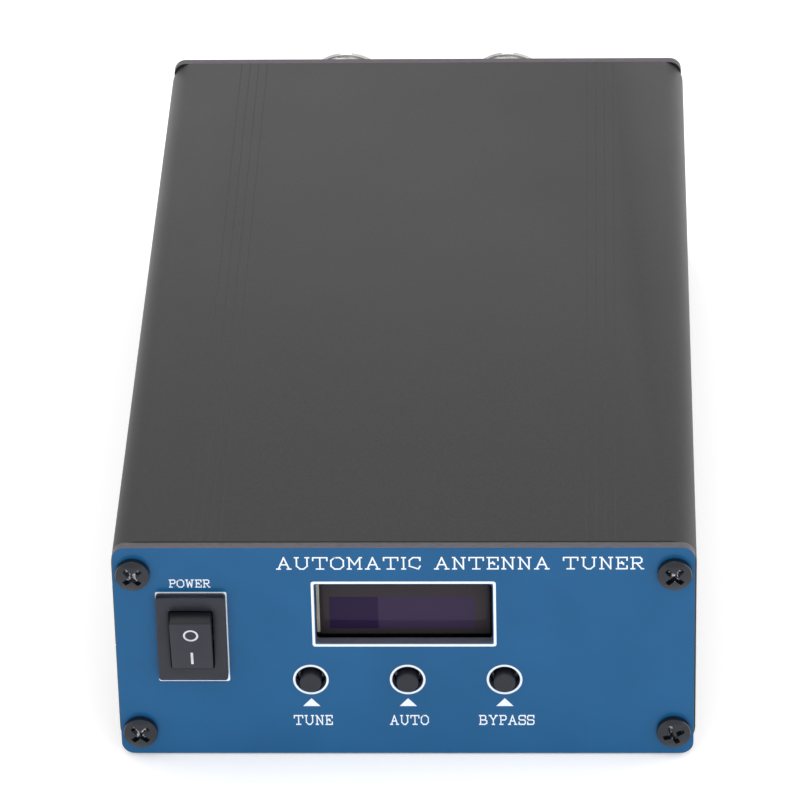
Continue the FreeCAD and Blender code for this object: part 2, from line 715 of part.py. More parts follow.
def make_stem(step):
    """Round stem with a bevelled end and the collar that the cover holds back."""
    x = button_x(step)
    tip = front_face + " - stem_proud"
    shoulder_y = tip + " + stem_bevel"
    bottom = "(%s - stem_base)" % control_face
    shaft = rod("y", x, shoulder_y, "button_z", "stem_radius", "%s - (%s)" % (bottom, shoulder_y))
    bevel = cone("y", x, tip, "button_z", "stem_tip", "stem_radius", "stem_bevel")
    collar_front = control_face + " - switch_rise + collar_play"
    collar = rod("y", x, collar_front, "button_z", "collar_radius", "collar_thick")
    return fuse(shaft, bevel, collar)


node("switch_bases", group([make_switch_base(step) for step in BUTTON_STEPS]))
node("switch_covers", group([make_switch_cover(step) for step in BUTTON_STEPS]))
node("switch_domes", group([make_snap_dome(step) for step in BUTTON_STEPS]))
for label, step in zip(("tune_button", "auto_button", "bypass_button"), BUTTON_STEPS):
    node(label, make_stem(step))

# ---------------------------------------------------------------- display
glass_front = panel_back + " + glass_gap"
carrier_front = glass_front + " + glass_thick"
header_front = carrier_front + " + carrier_thick"
node("display_glass", block("-glass_width / 2", glass_front, "window_z - glass_height / 2", "glass_width",
                            "glass_thick", "glass_height"))
node("display_carrier", block("-carrier_width / 2", carrier_front, "window_z - carrier_height / 2",
                              "carrier_width", "carrier_thick", "carrier_height"))
node("display_header", block("header_x - header_width / 2", header_front, "window_z - header_length / 2",
                             "header_width", "%s - (%s)" % (control_face, header_front), "header_length"))

# ---------------------------------------------------------------- main board and what stands on it
board_top = "(board_level + board_thick)"
half_width = "(case_width / 2 - wall - board_play)"
half_length = "(case_length / 2 - board_play)"
board_blank = block("-" + half_width, "-" + half_length, "board_level", "2 * " + half_width,
                    "2 * " + half_length, "board_thick")
notch_depth = control_back + " + case_length / 2 + board_play"
front_notch = block("-control_width / 2 - board_play", "-case_length / 2 - board_play",
                    "board_level - board_thick", "control_width + 2 * board_play", notch_depth,
                    "3 * board_thick")
nut_room = "(aerial_x - input_x + 2 * flange_spread + 3 * nut_radius)"
rear_notch = middle_block("(aerial_x + input_x) / 2", "case_length / 2", "board_level - board_thick",
                          nut_room, "2 * screw_reach", "3 * board_thick")
node("main_board", cut(board_blank, front_notch, rear_notch))
node("board_header", block("-link_length / 2", control_back, board_top, "link_length", "header_width",
                           "header_width"))


def on_board(x, y, width, depth, rise):
    return middle_block(x, y, board_top, width, depth, rise)


def both_rows(x, width, depth, rise):
    """One row of blocks down each side of the board."""
    return [on_board(side + x, "relay_first + %d * relay_pitch" % number, width, depth, rise)
            for side in ("-", "") for number in range(RELAYS_A_ROW)]


def make_ring(x, y, low, outside, inside, rise):
    """Flat ring that lies on the board."""
    hole = rod("z", x, y, "%s - (%s)" % (low, rise), inside, "3 * (%s)" % rise)
    return cut(rod("z", x, y, low, outside, rise), hole)


def make_winding(x, y, low, outside, inside, rise, gap):
    """Layer of wire wrapped round a ring, with part of the ring left bare."""
    layer = make_ring(x, y, low + " - wire_build", outside + " + wire_build", inside + " - wire_build",
                      rise + " + 2 * wire_build")
    bare = block(x, "%s - %s / 2" % (y, gap), low + " - 2 * wire_build", "2 * " + outside, gap,
                 rise + " + 4 * wire_build")
    ring = make_ring(x, y, low, outside, inside, rise)
    return cut(layer, ring, bare)


node("relays", group(both_rows("relay_x", "relay_width", "relay_depth", "relay_rise")))
node("tuning_capacitors", group(both_rows("chip_x", "chip_width", "chip_depth", "chip_rise")))
ring_low = board_top + " + wire_build"
ring_sizes = ("ring_radius", "ring_hole", "ring_rise")
ring_places = [("0", "ring_first + %d * ring_pitch" % number) for number in range(WOUND_RINGS)]
node("ring_cores", group([make_ring(x, y, ring_low, *ring_sizes) for x, y in ring_places]))
node("ring_windings", group([make_winding(x, y, ring_low, *ring_sizes, "winding_gap")
                             for x, y in ring_places]))


def make_air_coil(number):
    """Self-supporting coil, close wound, that lies across the board."""
    y = "coil_first + %d * coil_pitch" % number
    outer = rod("x", "-coil_length / 2", y, board_top + " + coil_radius", "coil_radius", "coil_length")
    inner = rod("x", "-coil_length", y, board_top + " + coil_radius", "coil_hollow", "2 * coil_length")
    return cut(outer, inner)


node("air_coils", group([make_air_coil(number) for number in range(AIR_COILS)]))
sense_rings = [(side + "sense_x", "sense_y") for side in ("-", "")]
node("sense_cores", group([make_ring(x, y, board_top, "sense_radius", "sense_hole", "sense_rise")
                           for x, y in sense_rings]))
node("processor", on_board("0", "processor_y", "processor_size", "processor_size", "processor_rise"))
node("voltage_regulator", on_board("regulator_x", "regulator_y", "regulator_width", "regulator_depth",
                                   "regulator_rise"))
node("electrolytics", group([rod("z", "-can_x", "can_y", board_top, "can_radius", "can_rise"),
                             rod("z", "can_far", "can_y", board_top, "can_radius", "can_rise")]))
node("power_header", on_board("rocker_x", "plug_y", "plug_width", "plug_depth", "plug_rise"))


# ---------------------------------------------------------------- radio sockets
# Local frame of a socket: its axis is Z, pointing backwards, and z = 0 is the rear panel's outer face.
def place_at_rear(target, x, z):
    return put(turn(target, REAR), x, rear_face, z)


def make_radio_shell():
    """Square flange, threaded barrel with a notched rim, and the neck that passes the panel."""
    flange = middle_block(0, 0, 0, "flange_size", "flange_size", "flange_thick")
    thread = rod("z", 0, 0, 0, "thread_radius", "thread_end")
    neck = rod("z", 0, 0, "-neck_reach", "neck_radius", "neck_reach")
    mouth = rod("z", 0, 0, "mouth_floor", "mouth_radius", "thread_end")
    core = rod("z", 0, 0, "-2 * neck_reach", "core_radius", "2 * neck_reach + thread_end")
    holes = [rod("z", "%sflange_spread" % across, "%sflange_spread" % up, "-flange_thick", "flange_hole",
                 "3 * flange_thick") for across in ("-", "") for up in ("-", "")]
    notches = []
    for number in range(NOTCH_BARS):
        bar = middle_block(0, 0, "thread_end - rim_depth", "4 * thread_radius", "rim_notch", "2 * rim_depth")
        notches.append(turn(group([bar]), Rotation(Vector(0, 0, 1), 180 / NOTCH_BARS * number)))
    return cut(fuse(flange, thread, neck), mouth, core, *(holes + notches))


def make_contact():
    """Centre contact: a split sleeve in front, a solder cup behind."""
    sleeve = rod("z", 0, 0, "contact_step", "contact_radius", "contact_end - contact_step")
    tail = rod("z", 0, 0, "-cup_reach", "cup_radius", "cup_reach + contact_step")
    bore = rod("z", 0, 0, "contact_end - contact_depth", "contact_hole", "2 * contact_depth")
    slit = middle_block(0, 0, "contact_end - contact_depth / 2", "3 * contact_radius", "contact_slit",
                        "contact_depth")
    return cut(fuse(sleeve, tail), bore, slit)


def make_insulator():
    """Plug of insulator through the shell, with a disc on the socket's floor and a nose round the contact."""
    plug = rod("z", 0, 0, "-core_reach", "core_radius", "core_reach + mouth_floor")
    disc = rod("z", 0, 0, "mouth_floor", "mouth_radius", "disc_rise")
    nose = rod("z", 0, 0, "mouth_floor", "nose_radius", "nose_end - mouth_floor")
    front_hole = rod("z", 0, 0, "contact_step", "contact_radius", "contact_end")
    rear_hole = rod("z", 0, 0, "-2 * core_reach", "cup_radius", "2 * core_reach + contact_end")
    return cut(fuse(plug, disc, nose), front_hole, rear_hole)


for label, socket_x in (("input", "input_x"), ("aerial", "aerial_x")):
    node(label + "_socket", place_at_rear(make_radio_shell(), socket_x, "radio_z"))
    node(label + "_insulator", place_at_rear(make_insulator(), socket_x, "radio_z"))
    node(label + "_contact", place_at_rear(make_contact(), socket_x, "radio_z"))


# ---------------------------------------------------------------- power inlet
def place_at_inlet(target):
    return place_at_rear(target, "inlet_x", "inlet_z")


flange_back = "-panel_thick - inlet_flange_thick"
inlet_thread = rod("z", 0, 0, "-inlet_depth / 2", "inlet_thread", "inlet_depth / 2 + inlet_proud")
inlet_flange = rod("z", 0, 0, flange_back, "inlet_flange", "inlet_flange_thick")
inlet_case = rod("z", 0, 0, "-inlet_depth", "inlet_body", "inlet_depth " + flange_back)
plug_socket = rod("z", 0, 0, "-inlet_floor", "inlet_bore", "2 * inlet_floor")
pin_seat = rod("z", 0, 0, "-2 * inlet_depth", "pin_radius", "2 * inlet_depth")


def make_sleeve_tag():
    """Strip through the back of the inlet; in the turned frame its local y points down."""
    length = "pin_reach - inlet_floor"
    return block("-tag_width / 2", "tag_drop", "-pin_reach", "tag_width", "tag_thick", length)


node("inlet_body", place_at_inlet(cut(fuse(inlet_thread, inlet_flange, inlet_case), plug_socket, pin_seat,
                                      make_sleeve_tag())))
inlet_pin = rod("z", 0, 0, "-pin_reach", "pin_radius", "pin_reach + pin_proud")
inlet_nut = make_ring("0", "0", "0", "ring_nut_radius", "inlet_thread", "ring_nut_thick")
node("inlet_pin", place_at_inlet(group([inlet_pin])))
node("inlet_tag", place_at_inlet(group([make_sleeve_tag()])))
node("inlet_nut", place_at_inlet(inlet_nut))


# ---------------------------------------------------------------- leads inside the case
def sweep_lead(points, radius, bend):
    """Round wire along straight runs joined by tangent arcs."""
    edges = []
    start = points[0]
    for before, corner, after in zip(points, points[1:], points[2:]):
        back = (before - corner).normalize()
        ahead = (after - corner).normalize()
        half = back.getAngle(ahead) / 2
        first = corner + back * (bend / math.tan(half))
        last = corner + ahead * (bend / math.tan(half))
        middle = corner + (back + ahead).normalize() * (bend / math.sin(half) - bend)
        edges.append(Part.LineSegment(start, first).toShape())
        edges.append(Part.Arc(first, middle, last).toShape())
        start = last
    edges.append(Part.LineSegment(start, points[-1]).toShape())
    section = Part.Wire([Part.Circle(points[0], points[1] - points[0], radius).toShape()])
    return Part.Wire(edges).makePipeShell([section], True, True)


def make_leads(label, radius_name, routes):
    leads = doc.addObject("Part::Feature", label)
    solids = [sweep_lead(points, value(radius_name), value("lead_bend")) for points in routes]
    leads.Shape = Part.makeCompound(solids)
    leads.Placement = FreeCAD.Placement()
    node(label, leads)


rear_y = value("case_length") / 2 + value("panel_thick")
top_z = value("board_level") + value("board_thick")
cup_y = rear_y - value("cup_reach")
radio_z, drop_y = value("radio_z"), value("lead_drop_y")
make_leads("radio_leads", "radio_wire", [
    [Vector(x, cup_y, radio_z), Vector(x, drop_y, radio_z), Vector(x, drop_y, top_z)]
    for x in (value("input_x"), value("aerial_x"))])

inlet_x, inlet_z = value("inlet_x"), value("inlet_z")
run_x, run_z = value("lead_run_x"), value("lead_run_z")
pin_y = rear_y - value("pin_reach")
tag_z = inlet_z - value("tag_drop") - value("tag_thick") / 2
switch_x, switch_z = value("rocker_x"), value("rocker_z")
blade_y = -rear_y + value("socket_depth") + value("blade_reach")
upper_blade_z = switch_z + value("blade_offset")
header_top = top_z + value("plug_rise")
rear_run, front_run = value("lead_rear_y"), value("lead_front_y")
tag_bend_y = pin_y - value("lead_stand_off")
make_leads("power_leads", "power_wire", [
    [Vector(inlet_x, pin_y, inlet_z), Vector(inlet_x, rear_run + value("lead_entry"), inlet_z),
     Vector(run_x, rear_run, run_z), Vector(run_x, front_run, run_z),
     Vector(switch_x, front_run - value("lead_slant"), upper_blade_z),
     Vector(switch_x, blade_y, upper_blade_z)],
    [Vector(switch_x, blade_y, switch_z), Vector(switch_x, value("plug_y"), switch_z),
     Vector(switch_x, value("plug_y"), header_top)],
    [Vector(inlet_x, pin_y, tag_z), Vector(inlet_x, tag_bend_y, tag_z), Vector(inlet_x, tag_bend_y, top_z)],
])

# ---------------------------------------------------------------- test and write
doc.recompute()
for item in doc.Objects:
    if "Invalid" in item.State or "Error" in item.State:
        raise RuntimeError("%s (%s) failed: %s" % (item.Name, item.Label, item.State))
labels = [target.Label for target in nodes]
if len(set(labels)) != len(labels):
    raise RuntimeError("two sub-parts share a name")
os.makedirs("parts", exist_ok=True)
for old in os.listdir("parts"):
    if old.endswith(".step") and old[:-len(".step")] not in labels:
        os.remove(os.path.join("parts", old))
for target in nodes:
    shape = target.Shape
    if shape.isNull() or not shape.isValid() or not shape.Solids:
        raise RuntimeError("%s has no valid solid" % target.Label)
    shape.exportStep(os.path.join("parts", target.Label + ".step"))
    box = shape.BoundBox
    print("%-22s %2d solids %10.2f mm3  x %7.2f %7.2f  y %7.2f %7.2f  z %6.2f %6.2f" % (
        target.Label, len(shape.Solids), shape.Volume, box.XMin, box.XMax, box.YMin, box.YMax, box.ZMin,
        box.ZMax))
print(len(nodes), "sub-parts")
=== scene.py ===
"""Looks of a small automatic antenna tuner: split case, end panels, switch, display, buttons and sockets.

Places are in the frame's coordinates, and many are read from its nodes. Blender works in metres, and a
size given in millimetres is times MM. The front panel faces -Y, +Z is up, and the case stands on z = 0.
"""
import json
import math

import bmesh
import bpy
from mathutils import Matrix, Vector


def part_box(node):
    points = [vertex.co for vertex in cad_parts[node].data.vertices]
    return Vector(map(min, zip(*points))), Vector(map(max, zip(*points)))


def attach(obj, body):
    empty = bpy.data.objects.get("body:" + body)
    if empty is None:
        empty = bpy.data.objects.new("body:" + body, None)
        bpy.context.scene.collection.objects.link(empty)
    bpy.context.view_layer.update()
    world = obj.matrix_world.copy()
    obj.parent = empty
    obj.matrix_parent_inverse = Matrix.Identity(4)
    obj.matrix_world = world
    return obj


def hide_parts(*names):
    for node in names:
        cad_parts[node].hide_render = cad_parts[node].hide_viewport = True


bl_info = {
    "name": "Antenna tuner",
    "version": (1, 0, 0),
    "blender": (4, 5, 0),
    "location": "View3D > Sidebar > Tuner",
    "description": "Models the visible pieces and finishes of a small antenna tuner",
    "category": "Object",
}

MM = 0.001
NEAR = 0.001 * MM
X, Y, Z = range(3)
QUARTER = math.pi / 2
PAST = 1 * MM  # how far a cutter reaches past what it cuts
THROUGH = 4 * MM  # length of a round cutter about an end panel's face

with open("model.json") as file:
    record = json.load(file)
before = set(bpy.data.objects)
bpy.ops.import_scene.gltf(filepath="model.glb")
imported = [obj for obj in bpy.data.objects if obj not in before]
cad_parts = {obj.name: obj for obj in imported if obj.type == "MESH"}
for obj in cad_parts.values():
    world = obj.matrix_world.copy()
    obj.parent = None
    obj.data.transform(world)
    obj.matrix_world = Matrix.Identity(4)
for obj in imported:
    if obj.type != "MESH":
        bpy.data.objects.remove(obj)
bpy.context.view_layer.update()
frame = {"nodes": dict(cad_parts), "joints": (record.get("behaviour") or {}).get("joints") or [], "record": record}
CASE_LOW, CASE_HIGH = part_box("lower_shell")
CASE_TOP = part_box("upper_shell")[1].z
SEAM = CASE_TOP / 2
FRONT_LOW, FRONT_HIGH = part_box("front_panel")
REAR_LOW, REAR_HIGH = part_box("rear_panel")
FRONT_FACE, REAR_FACE = FRONT_LOW.y, REAR_HIGH.y
BOARD_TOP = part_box("main_board")[1].z
SCREW_X, SCREW_Z = 40.65 * MM, 4.6 * MM  # corner screws, from the middle and from the nearer face of the case
BUTTONS = ("tune", "auto", "bypass")
RADIO_SOCKETS = ("input", "aerial")
FORWARDS, BACKWARDS = (QUARTER, 0, 0), (-QUARTER, 0, 0)  # turns that point +Z to the front or to the rear


# ---------------------------------------------------------------- what a user may change
def length(name, description, size):
    """A length property whose default is given in millimetres."""
    return bpy.props.FloatProperty(name=name, description=description, default=size * MM, unit="LENGTH",
                                   precision=5)


def colour(name, description, red, green, blue):
    return bpy.props.FloatVectorProperty(name=name, description=description, subtype="COLOR", size=3, min=0,
                                         max=1, default=(red, green, blue))


def degrees(name, description, angle):
    return bpy.props.FloatProperty(name=name, description=description, default=math.radians(angle),
                                   unit="ROTATION")


class TunerCase(bpy.types.PropertyGroup):
    anodising: colour("Anodising", "Dark grey of the sand-blasted case", 0.03, 0.03, 0.03)
    wall: length("Wall", "Thickness of the extrusion", 1.8)
    shoulder: length("Shoulder", "Radius along the four long edges", 4)
    edge_break: length("Edge break", "Filed edge at the ends and along the seam", 0.22)
    flute_start: length("First groove", "From the side of the case to the first fine groove", 12.1)
    flute_pitch: length("Groove pitch", "From one fine groove to the next", 1.47)
    flute_width: length("Groove width", "Across one fine groove", 0.15)
    flute_depth: length("Groove depth", "How deep a fine groove is", 0.035)


class TunerPanels(bpy.types.PropertyGroup):
    mask: colour("Solder mask", "Blue of both end panels", 0.009, 0.094, 0.235)
    bare: colour("Bare board", "Cut edge of the end panels", 0.08, 0.07, 0.082)
    ink: colour("Print", "White print on the front panel", 0.8, 0.86, 0.92)
    corner: length("Corner", "Corner radius of an end panel", 2)
    screw_hole: length("Screw hole", "Radius of a corner hole", 1.65)
    button_hole: length("Button hole", "Radius of a button's hole", 2.3)
    window_corner: length("Window corner", "Corner radius of the display window", 0.6)
    print_rise: length("Print rise", "How far the print stands above the mask", 0.03)


class TunerSwitch(bpy.types.PropertyGroup):
    nylon: colour("Nylon", "Black of the switch and the buttons", 0.017, 0.019, 0.029)
    mouth_width: length("Mouth width", "Opening for the paddle, across", 6.6)
    mouth_height: length("Mouth height", "Opening for the paddle, up", 10.4)
    paddle_radius: length("Paddle radius", "Rounded ends of the paddle, about the pivot", 5.1)
    paddle_face: length("Paddle face", "Face of the paddle, in front of the pivot", 2.15)
    paddle_tilt: degrees("Tilt", "Upper end of the paddle, outwards", 10)


class TunerDisplay(bpy.types.PropertyGroup):
    glass: colour("Glass", "Dark surround of the display", 0.036, 0.03, 0.036)
    dark_field: colour("Left field", "Left part of the display's field", 0.02, 0.011, 0.043)
    # The right part of the field is painted paler: a painted reflection on the glass.
    field_with_reflection: colour("Right field", "Right part of the display's field", 0.038, 0.026, 0.062)
    window_x: length("Window x", "Middle of the display window", -0.045)
    window_z: length("Window z", "Middle of the display window, above the desk", 25.9)
    window_width: length("Window width", "Cut-out in the front panel", 26.7)
    window_height: length("Window height", "Cut-out in the front panel", 10.7)


class TunerSockets(bpy.types.PropertyGroup):
    plating: colour("Plating", "Nickel of the sockets, nuts and flange screws", 0.5, 0.49, 0.47)
    insulator: colour("Insulator", "Fluoropolymer in the radio sockets", 0.82, 0.81, 0.77)
    flange: length("Flange", "Thickness of a radio socket's flange", 3)
    flange_spread: length("Screw spread", "Flange screws, from the socket's axis", 9.12)
    thread_pitch: length("Thread pitch", "24 turns to the inch", 25.4 / 24)


class TunerStage(bpy.types.PropertyGroup):
    lens: bpy.props.FloatProperty(name="Lens", description="Focal length on a 36 mm wide sensor",
                                  default=254.25, unit="CAMERA")
    eye_x: length("Eye x", "Place of the camera", 28.9)
    eye_y: length("Eye y", "Place of the camera", -781.35)
    eye_z: length("Eye z", "Place of the camera", 502.89)
    yaw: degrees("Yaw", "How far the camera stands round to the right", 2.337)
    pitch: degrees("Pitch", "How far the camera looks down", 31.899)
    roll: degrees("Roll", "How far the camera leans", -1.353)
    floor: colour("Floor", "Pale desk or backdrop", 0.9, 0.9, 0.9)


# ---------------------------------------------------------------- places
def node_middle(node):
    low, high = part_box(node)
    return (low + high) / 2


def rear_spot(node):
    """Where a round node's axis meets the rear panel's outer face."""
    middle = node_middle(node)
    return middle.x, REAR_FACE, middle.z


def corner_places(face):
    """Middles of the corner screws on an end panel's face."""
    return [(x, face, z) for x in (-SCREW_X, SCREW_X) for z in (SCREW_Z, CASE_TOP - SCREW_Z)]


def flange_places(spread, face):
    """Middles of the eight flange screws, at a level across Y."""
    places = []
    for label in RADIO_SOCKETS:
        middle = node_middle(label + "_socket")
        places += [(middle.x + across * spread, face, middle.z + up * spread)
                   for across in (-1, 1) for up in (-1, 1)]
    return places


def in_mm(*rings):
    """Rings of a turned piece, given as radius and height in millimetres."""
    return [(radius * MM, height * MM) for radius, height in rings]


# ---------------------------------------------------------------- handling pieces
def clear_selection():
    if bpy.context.mode != "OBJECT":
        bpy.ops.object.mode_set(mode="OBJECT")
    bpy.ops.object.select_all(action="DESELECT")


def activate(piece):
    clear_selection()
    piece.select_set(True)
    bpy.context.view_layer.objects.active = piece


def apply_place():
    bpy.ops.object.transform_apply(location=True, rotation=True, scale=True)


def name_new(name):
    """Name the primitive that was just added and put its place into its mesh."""
    piece = bpy.context.active_object
    piece.name = piece.data.name = name
    apply_place()
    return piece


def place(piece, turn=(0, 0, 0), at=(0, 0, 0)):
    """Turn a piece about the origin, then move it, and put both into its mesh."""
    activate(piece)
    piece.rotation_euler = turn
    piece.location = at
    apply_place()
    return piece


def place_again(piece):
    """Put the scale and place that a piece has just been given into its mesh."""
    activate(piece)
    apply_place()
    return piece


def copy_piece(piece, name):
    twin = piece.copy()
    twin.data = piece.data.copy()
    twin.name = twin.data.name = name
    bpy.context.scene.collection.objects.link(twin)
    return twin


def join_pieces(name, pieces):
    activate(pieces[0])
    for piece in pieces[1:]:
        piece.select_set(True)
    if len(pieces) > 1:
        bpy.ops.object.join()
    pieces[0].name = pieces[0].data.name = name
    return pieces[0]


def add_box(name, low, high):
    clear_selection()
    low, high = Vector(low), Vector(high)
    bpy.ops.mesh.primitive_cube_add(size=1, location=(low + high) / 2, scale=high - low)
    return name_new(name)


def add_rod(name, middle, radius, reach, sides=32, turn=FORWARDS):
    """A round bar about its middle, along Y unless it is turned."""
    clear_selection()
    bpy.ops.mesh.primitive_cylinder_add(vertices=sides, radius=radius, depth=reach, location=middle,
                                        rotation=turn)
    return name_new(name)


def edit(piece):
    activate(piece)
    bpy.ops.object.mode_set(mode="EDIT")


def leave_edit():
    bpy.ops.object.mode_set(mode="OBJECT")


def pick(piece, kind, test):
    """In edit mode, select the edges or faces that pass a test."""
    bpy.ops.mesh.select_mode(type=kind)
    bpy.ops.mesh.select_all(action="DESELECT")
    shape = bmesh.from_edit_mesh(piece.data)
    found = [item for item in {"EDGE": shape.edges, "FACE": shape.faces}[kind] if test(item)]
    if not found:
        raise RuntimeError("%s: nothing to select" % piece.name)
    for item in found:
        item.select_set(True)
    bmesh.update_edit_mesh(piece.data)


def lies_at(edge, axis, level):
    """Whether an edge lies in a plane across an axis."""
    return all(abs(end.co[axis] - level) < NEAR for end in edge.verts)


def along(edge, axis):
    """Whether an edge runs parallel to an axis."""
    first, last = (end.co for end in edge.verts)
    return all(abs(first[other] - last[other]) < NEAR for other in (X, Y, Z) if other != axis)


def bevel_edges(piece, test, width, steps):
    edit(piece)
    pick(piece, "EDGE", test)
    bpy.ops.mesh.bevel(offset=width, segments=steps, affect="EDGES")
    leave_edit()
    return piece


def use_modifier(piece, kind, **values):
    activate(piece)
    bpy.ops.object.modifier_add(type=kind)
    modifier = piece.modifiers[-1]
    for name, setting in values.items():
        setattr(modifier, name, setting)
    bpy.ops.object.modifier_apply(modifier=modifier.name)
    return piece


def combine(piece, tool, operation):
    use_modifier(piece, "BOOLEAN", object=tool, operation=operation, solver="EXACT")
    bpy.data.objects.remove(tool)
    return piece


def carve(piece, *tools):
    for tool in tools:
        combine(piece, tool, "DIFFERENCE")
    return piece


def weld(piece, *tools):
    for tool in tools:
        combine(piece, tool, "UNION")
    return piece


def clean(piece):
    """Dissolve the edges without length that a cut has left."""
    edit(piece)
    bpy.ops.mesh.select_all(action="SELECT")
    bpy.ops.mesh.dissolve_degenerate(threshold=NEAR)
    leave_edit()
    return piece


def soften(piece, width, steps=2, angle=40):
    """Round every edge sharper than an angle."""
    return use_modifier(piece, "BEVEL", width=width, segments=steps, limit_method="ANGLE",
                        angle_limit=math.radians(angle))


def smooth(piece, angle=32):
    activate(piece)
    bpy.ops.object.shade_smooth_by_angle(angle=math.radians(angle))
    return piece


def turn_on_lathe(name, rings, sides=48, ring_shaped=False):
    """A turned piece about Z: a circle that is extruded, moved and scaled from ring to ring.

    Rings are (radius, height) pairs. A ring-shaped piece is closed back on its first ring, others are capped.
    """
    clear_selection()
    radius, height = rings[0]
    bpy.ops.mesh.primitive_circle_add(vertices=sides, radius=radius, location=(0, 0, height))
    piece = name_new(name)
    edit(piece)
    bpy.ops.mesh.select_mode(type="VERT")
    bpy.ops.mesh.select_all(action="SELECT")
    for next_radius, next_height in rings[1:] + rings[:1] * ring_shaped:
        scale = next_radius / radius
        bpy.ops.mesh.extrude_region_move(TRANSFORM_OT_translate={"value": (0, 0, next_height - height)})
        bpy.ops.transform.resize(value=(scale, scale, 1), center_override=(0, 0, next_height))
        radius, height = next_radius, next_height
    bpy.ops.mesh.select_all(action="SELECT")
    if ring_shaped:
        bpy.ops.mesh.remove_doubles(threshold=NEAR)
    else:
        bpy.ops.mesh.fill_holes(sides=0)
    bpy.ops.mesh.normals_make_consistent(inside=False)
    leave_edit()
    return piece


def thread_rings(radius, low, high, pitch, rows=6):
    """Rings close enough together for a thread to be pressed into them."""
    count = round((high - low) / pitch * rows)
    return [(radius, low + (high - low) * row / count) for row in range(count + 1)]


def wind_thread(piece, crest, low, high, pitch, depth):
    """Press a helical groove into the wall of a turned piece, between two heights."""
    for point in piece.data.vertices:
        spot = point.co
        if low + NEAR < spot.z < high - NEAR and abs(math.hypot(spot.x, spot.y) - crest) < NEAR:
            phase = (spot.z / pitch - math.atan2(spot.y, spot.x) / math.tau) % 1
            shrink = 1 - depth * (1 - abs(2 * phase - 1)) / crest
            spot.x *= shrink
            spot.y *= shrink
    return piece


# ---------------------------------------------------------------- finishes
FINISH_NAME = "tuner_%s"  # the frame's own materials carry the bare slot names


def finish_named(name):
    return bpy.data.materials[FINISH_NAME % name]


def new_finish(name, tint, roughness, **sockets):
    """A material whose even values stand on the shader's own sockets."""
    material = bpy.data.materials.new(FINISH_NAME % name)
    material.use_nodes = True
    shader = material.node_tree.nodes["Principled BSDF"]
    shader.inputs["Base Color"].default_value = (*tint, 1)
    shader.inputs["Roughness"].default_value = roughness
    for socket, setting in sockets.items():
        shader.inputs[socket.replace("_", " ").title().replace("Ior", "IOR")].default_value = setting
    return material


def add_noise(material, grain, stretch=(1, 1, 1), detail=3):
    """Noise on the piece's own coordinates; the grain is the size of its blobs."""
    tree = material.node_tree
    spots = tree.nodes.new("ShaderNodeTexCoord")
    mapping = tree.nodes.new("ShaderNodeMapping")
    mapping.inputs["Scale"].default_value = stretch
    noise = tree.nodes.new("ShaderNodeTexNoise")
    noise.inputs["Scale"].default_value = 1 / grain
    noise.inputs["Detail"].default_value = detail
    tree.links.new(spots.outputs["Object"], mapping.inputs["Vector"])
    tree.links.new(mapping.outputs["Vector"], noise.inputs["Vector"])
    return noise.outputs["Fac"]


def add_bump(material, grain, height, stretch=(1, 1, 1)):
    """Fine relief over the whole finish."""
    tree = material.node_tree
    bump = tree.nodes.new("ShaderNodeBump")
    bump.inputs["Distance"].default_value = height
    tree.links.new(add_noise(material, grain, stretch), bump.inputs["Height"])
    tree.links.new(bump.outputs["Normal"], tree.nodes["Principled BSDF"].inputs["Normal"])
    return material


def add_shade(material, grain, dark, pale, stretch=(1, 1, 1), span=(0.3, 0.7)):
    """Let the base colour wander between two shares of itself, over a span of the noise."""
    tree = material.node_tree
    shader = tree.nodes["Principled BSDF"]
    tint = Vector(shader.inputs["Base Color"].default_value[:3])
    ramp = tree.nodes.new("ShaderNodeValToRGB")
    ramp.color_ramp.elements[0].position, ramp.color_ramp.elements[1].position = span
    ramp.color_ramp.elements[0].color = (*tint * dark, 1)
    ramp.color_ramp.elements[1].color = (*tint * pale, 1)
    tree.links.new(add_noise(material, grain, stretch), ramp.inputs["Fac"])
    tree.links.new(ramp.outputs["Color"], shader.inputs["Base Color"])
    return material


def add_wear(material, grain, low, high):
    """Let the roughness wander between two values."""
    tree = material.node_tree
    spread = tree.nodes.new("ShaderNodeMapRange")
    spread.inputs["To Min"].default_value = low
    spread.inputs["To Max"].default_value = high
    tree.links.new(add_noise(material, grain), spread.inputs["Value"])
    tree.links.new(spread.outputs["Result"], tree.nodes["Principled BSDF"].inputs["Roughness"])
    return material


def simple_finish(name, tint, roughness, grain, height, **sockets):
    """A finish with fine relief, a little shading and a little wear."""
    material = new_finish(name, tint, roughness, **sockets)
    add_bump(material, grain * MM, height * MM)
    add_shade(material, 12 * grain * MM, 0.88, 1.12)
    return add_wear(material, 6 * grain * MM, roughness * 0.85, roughness * 1.15)


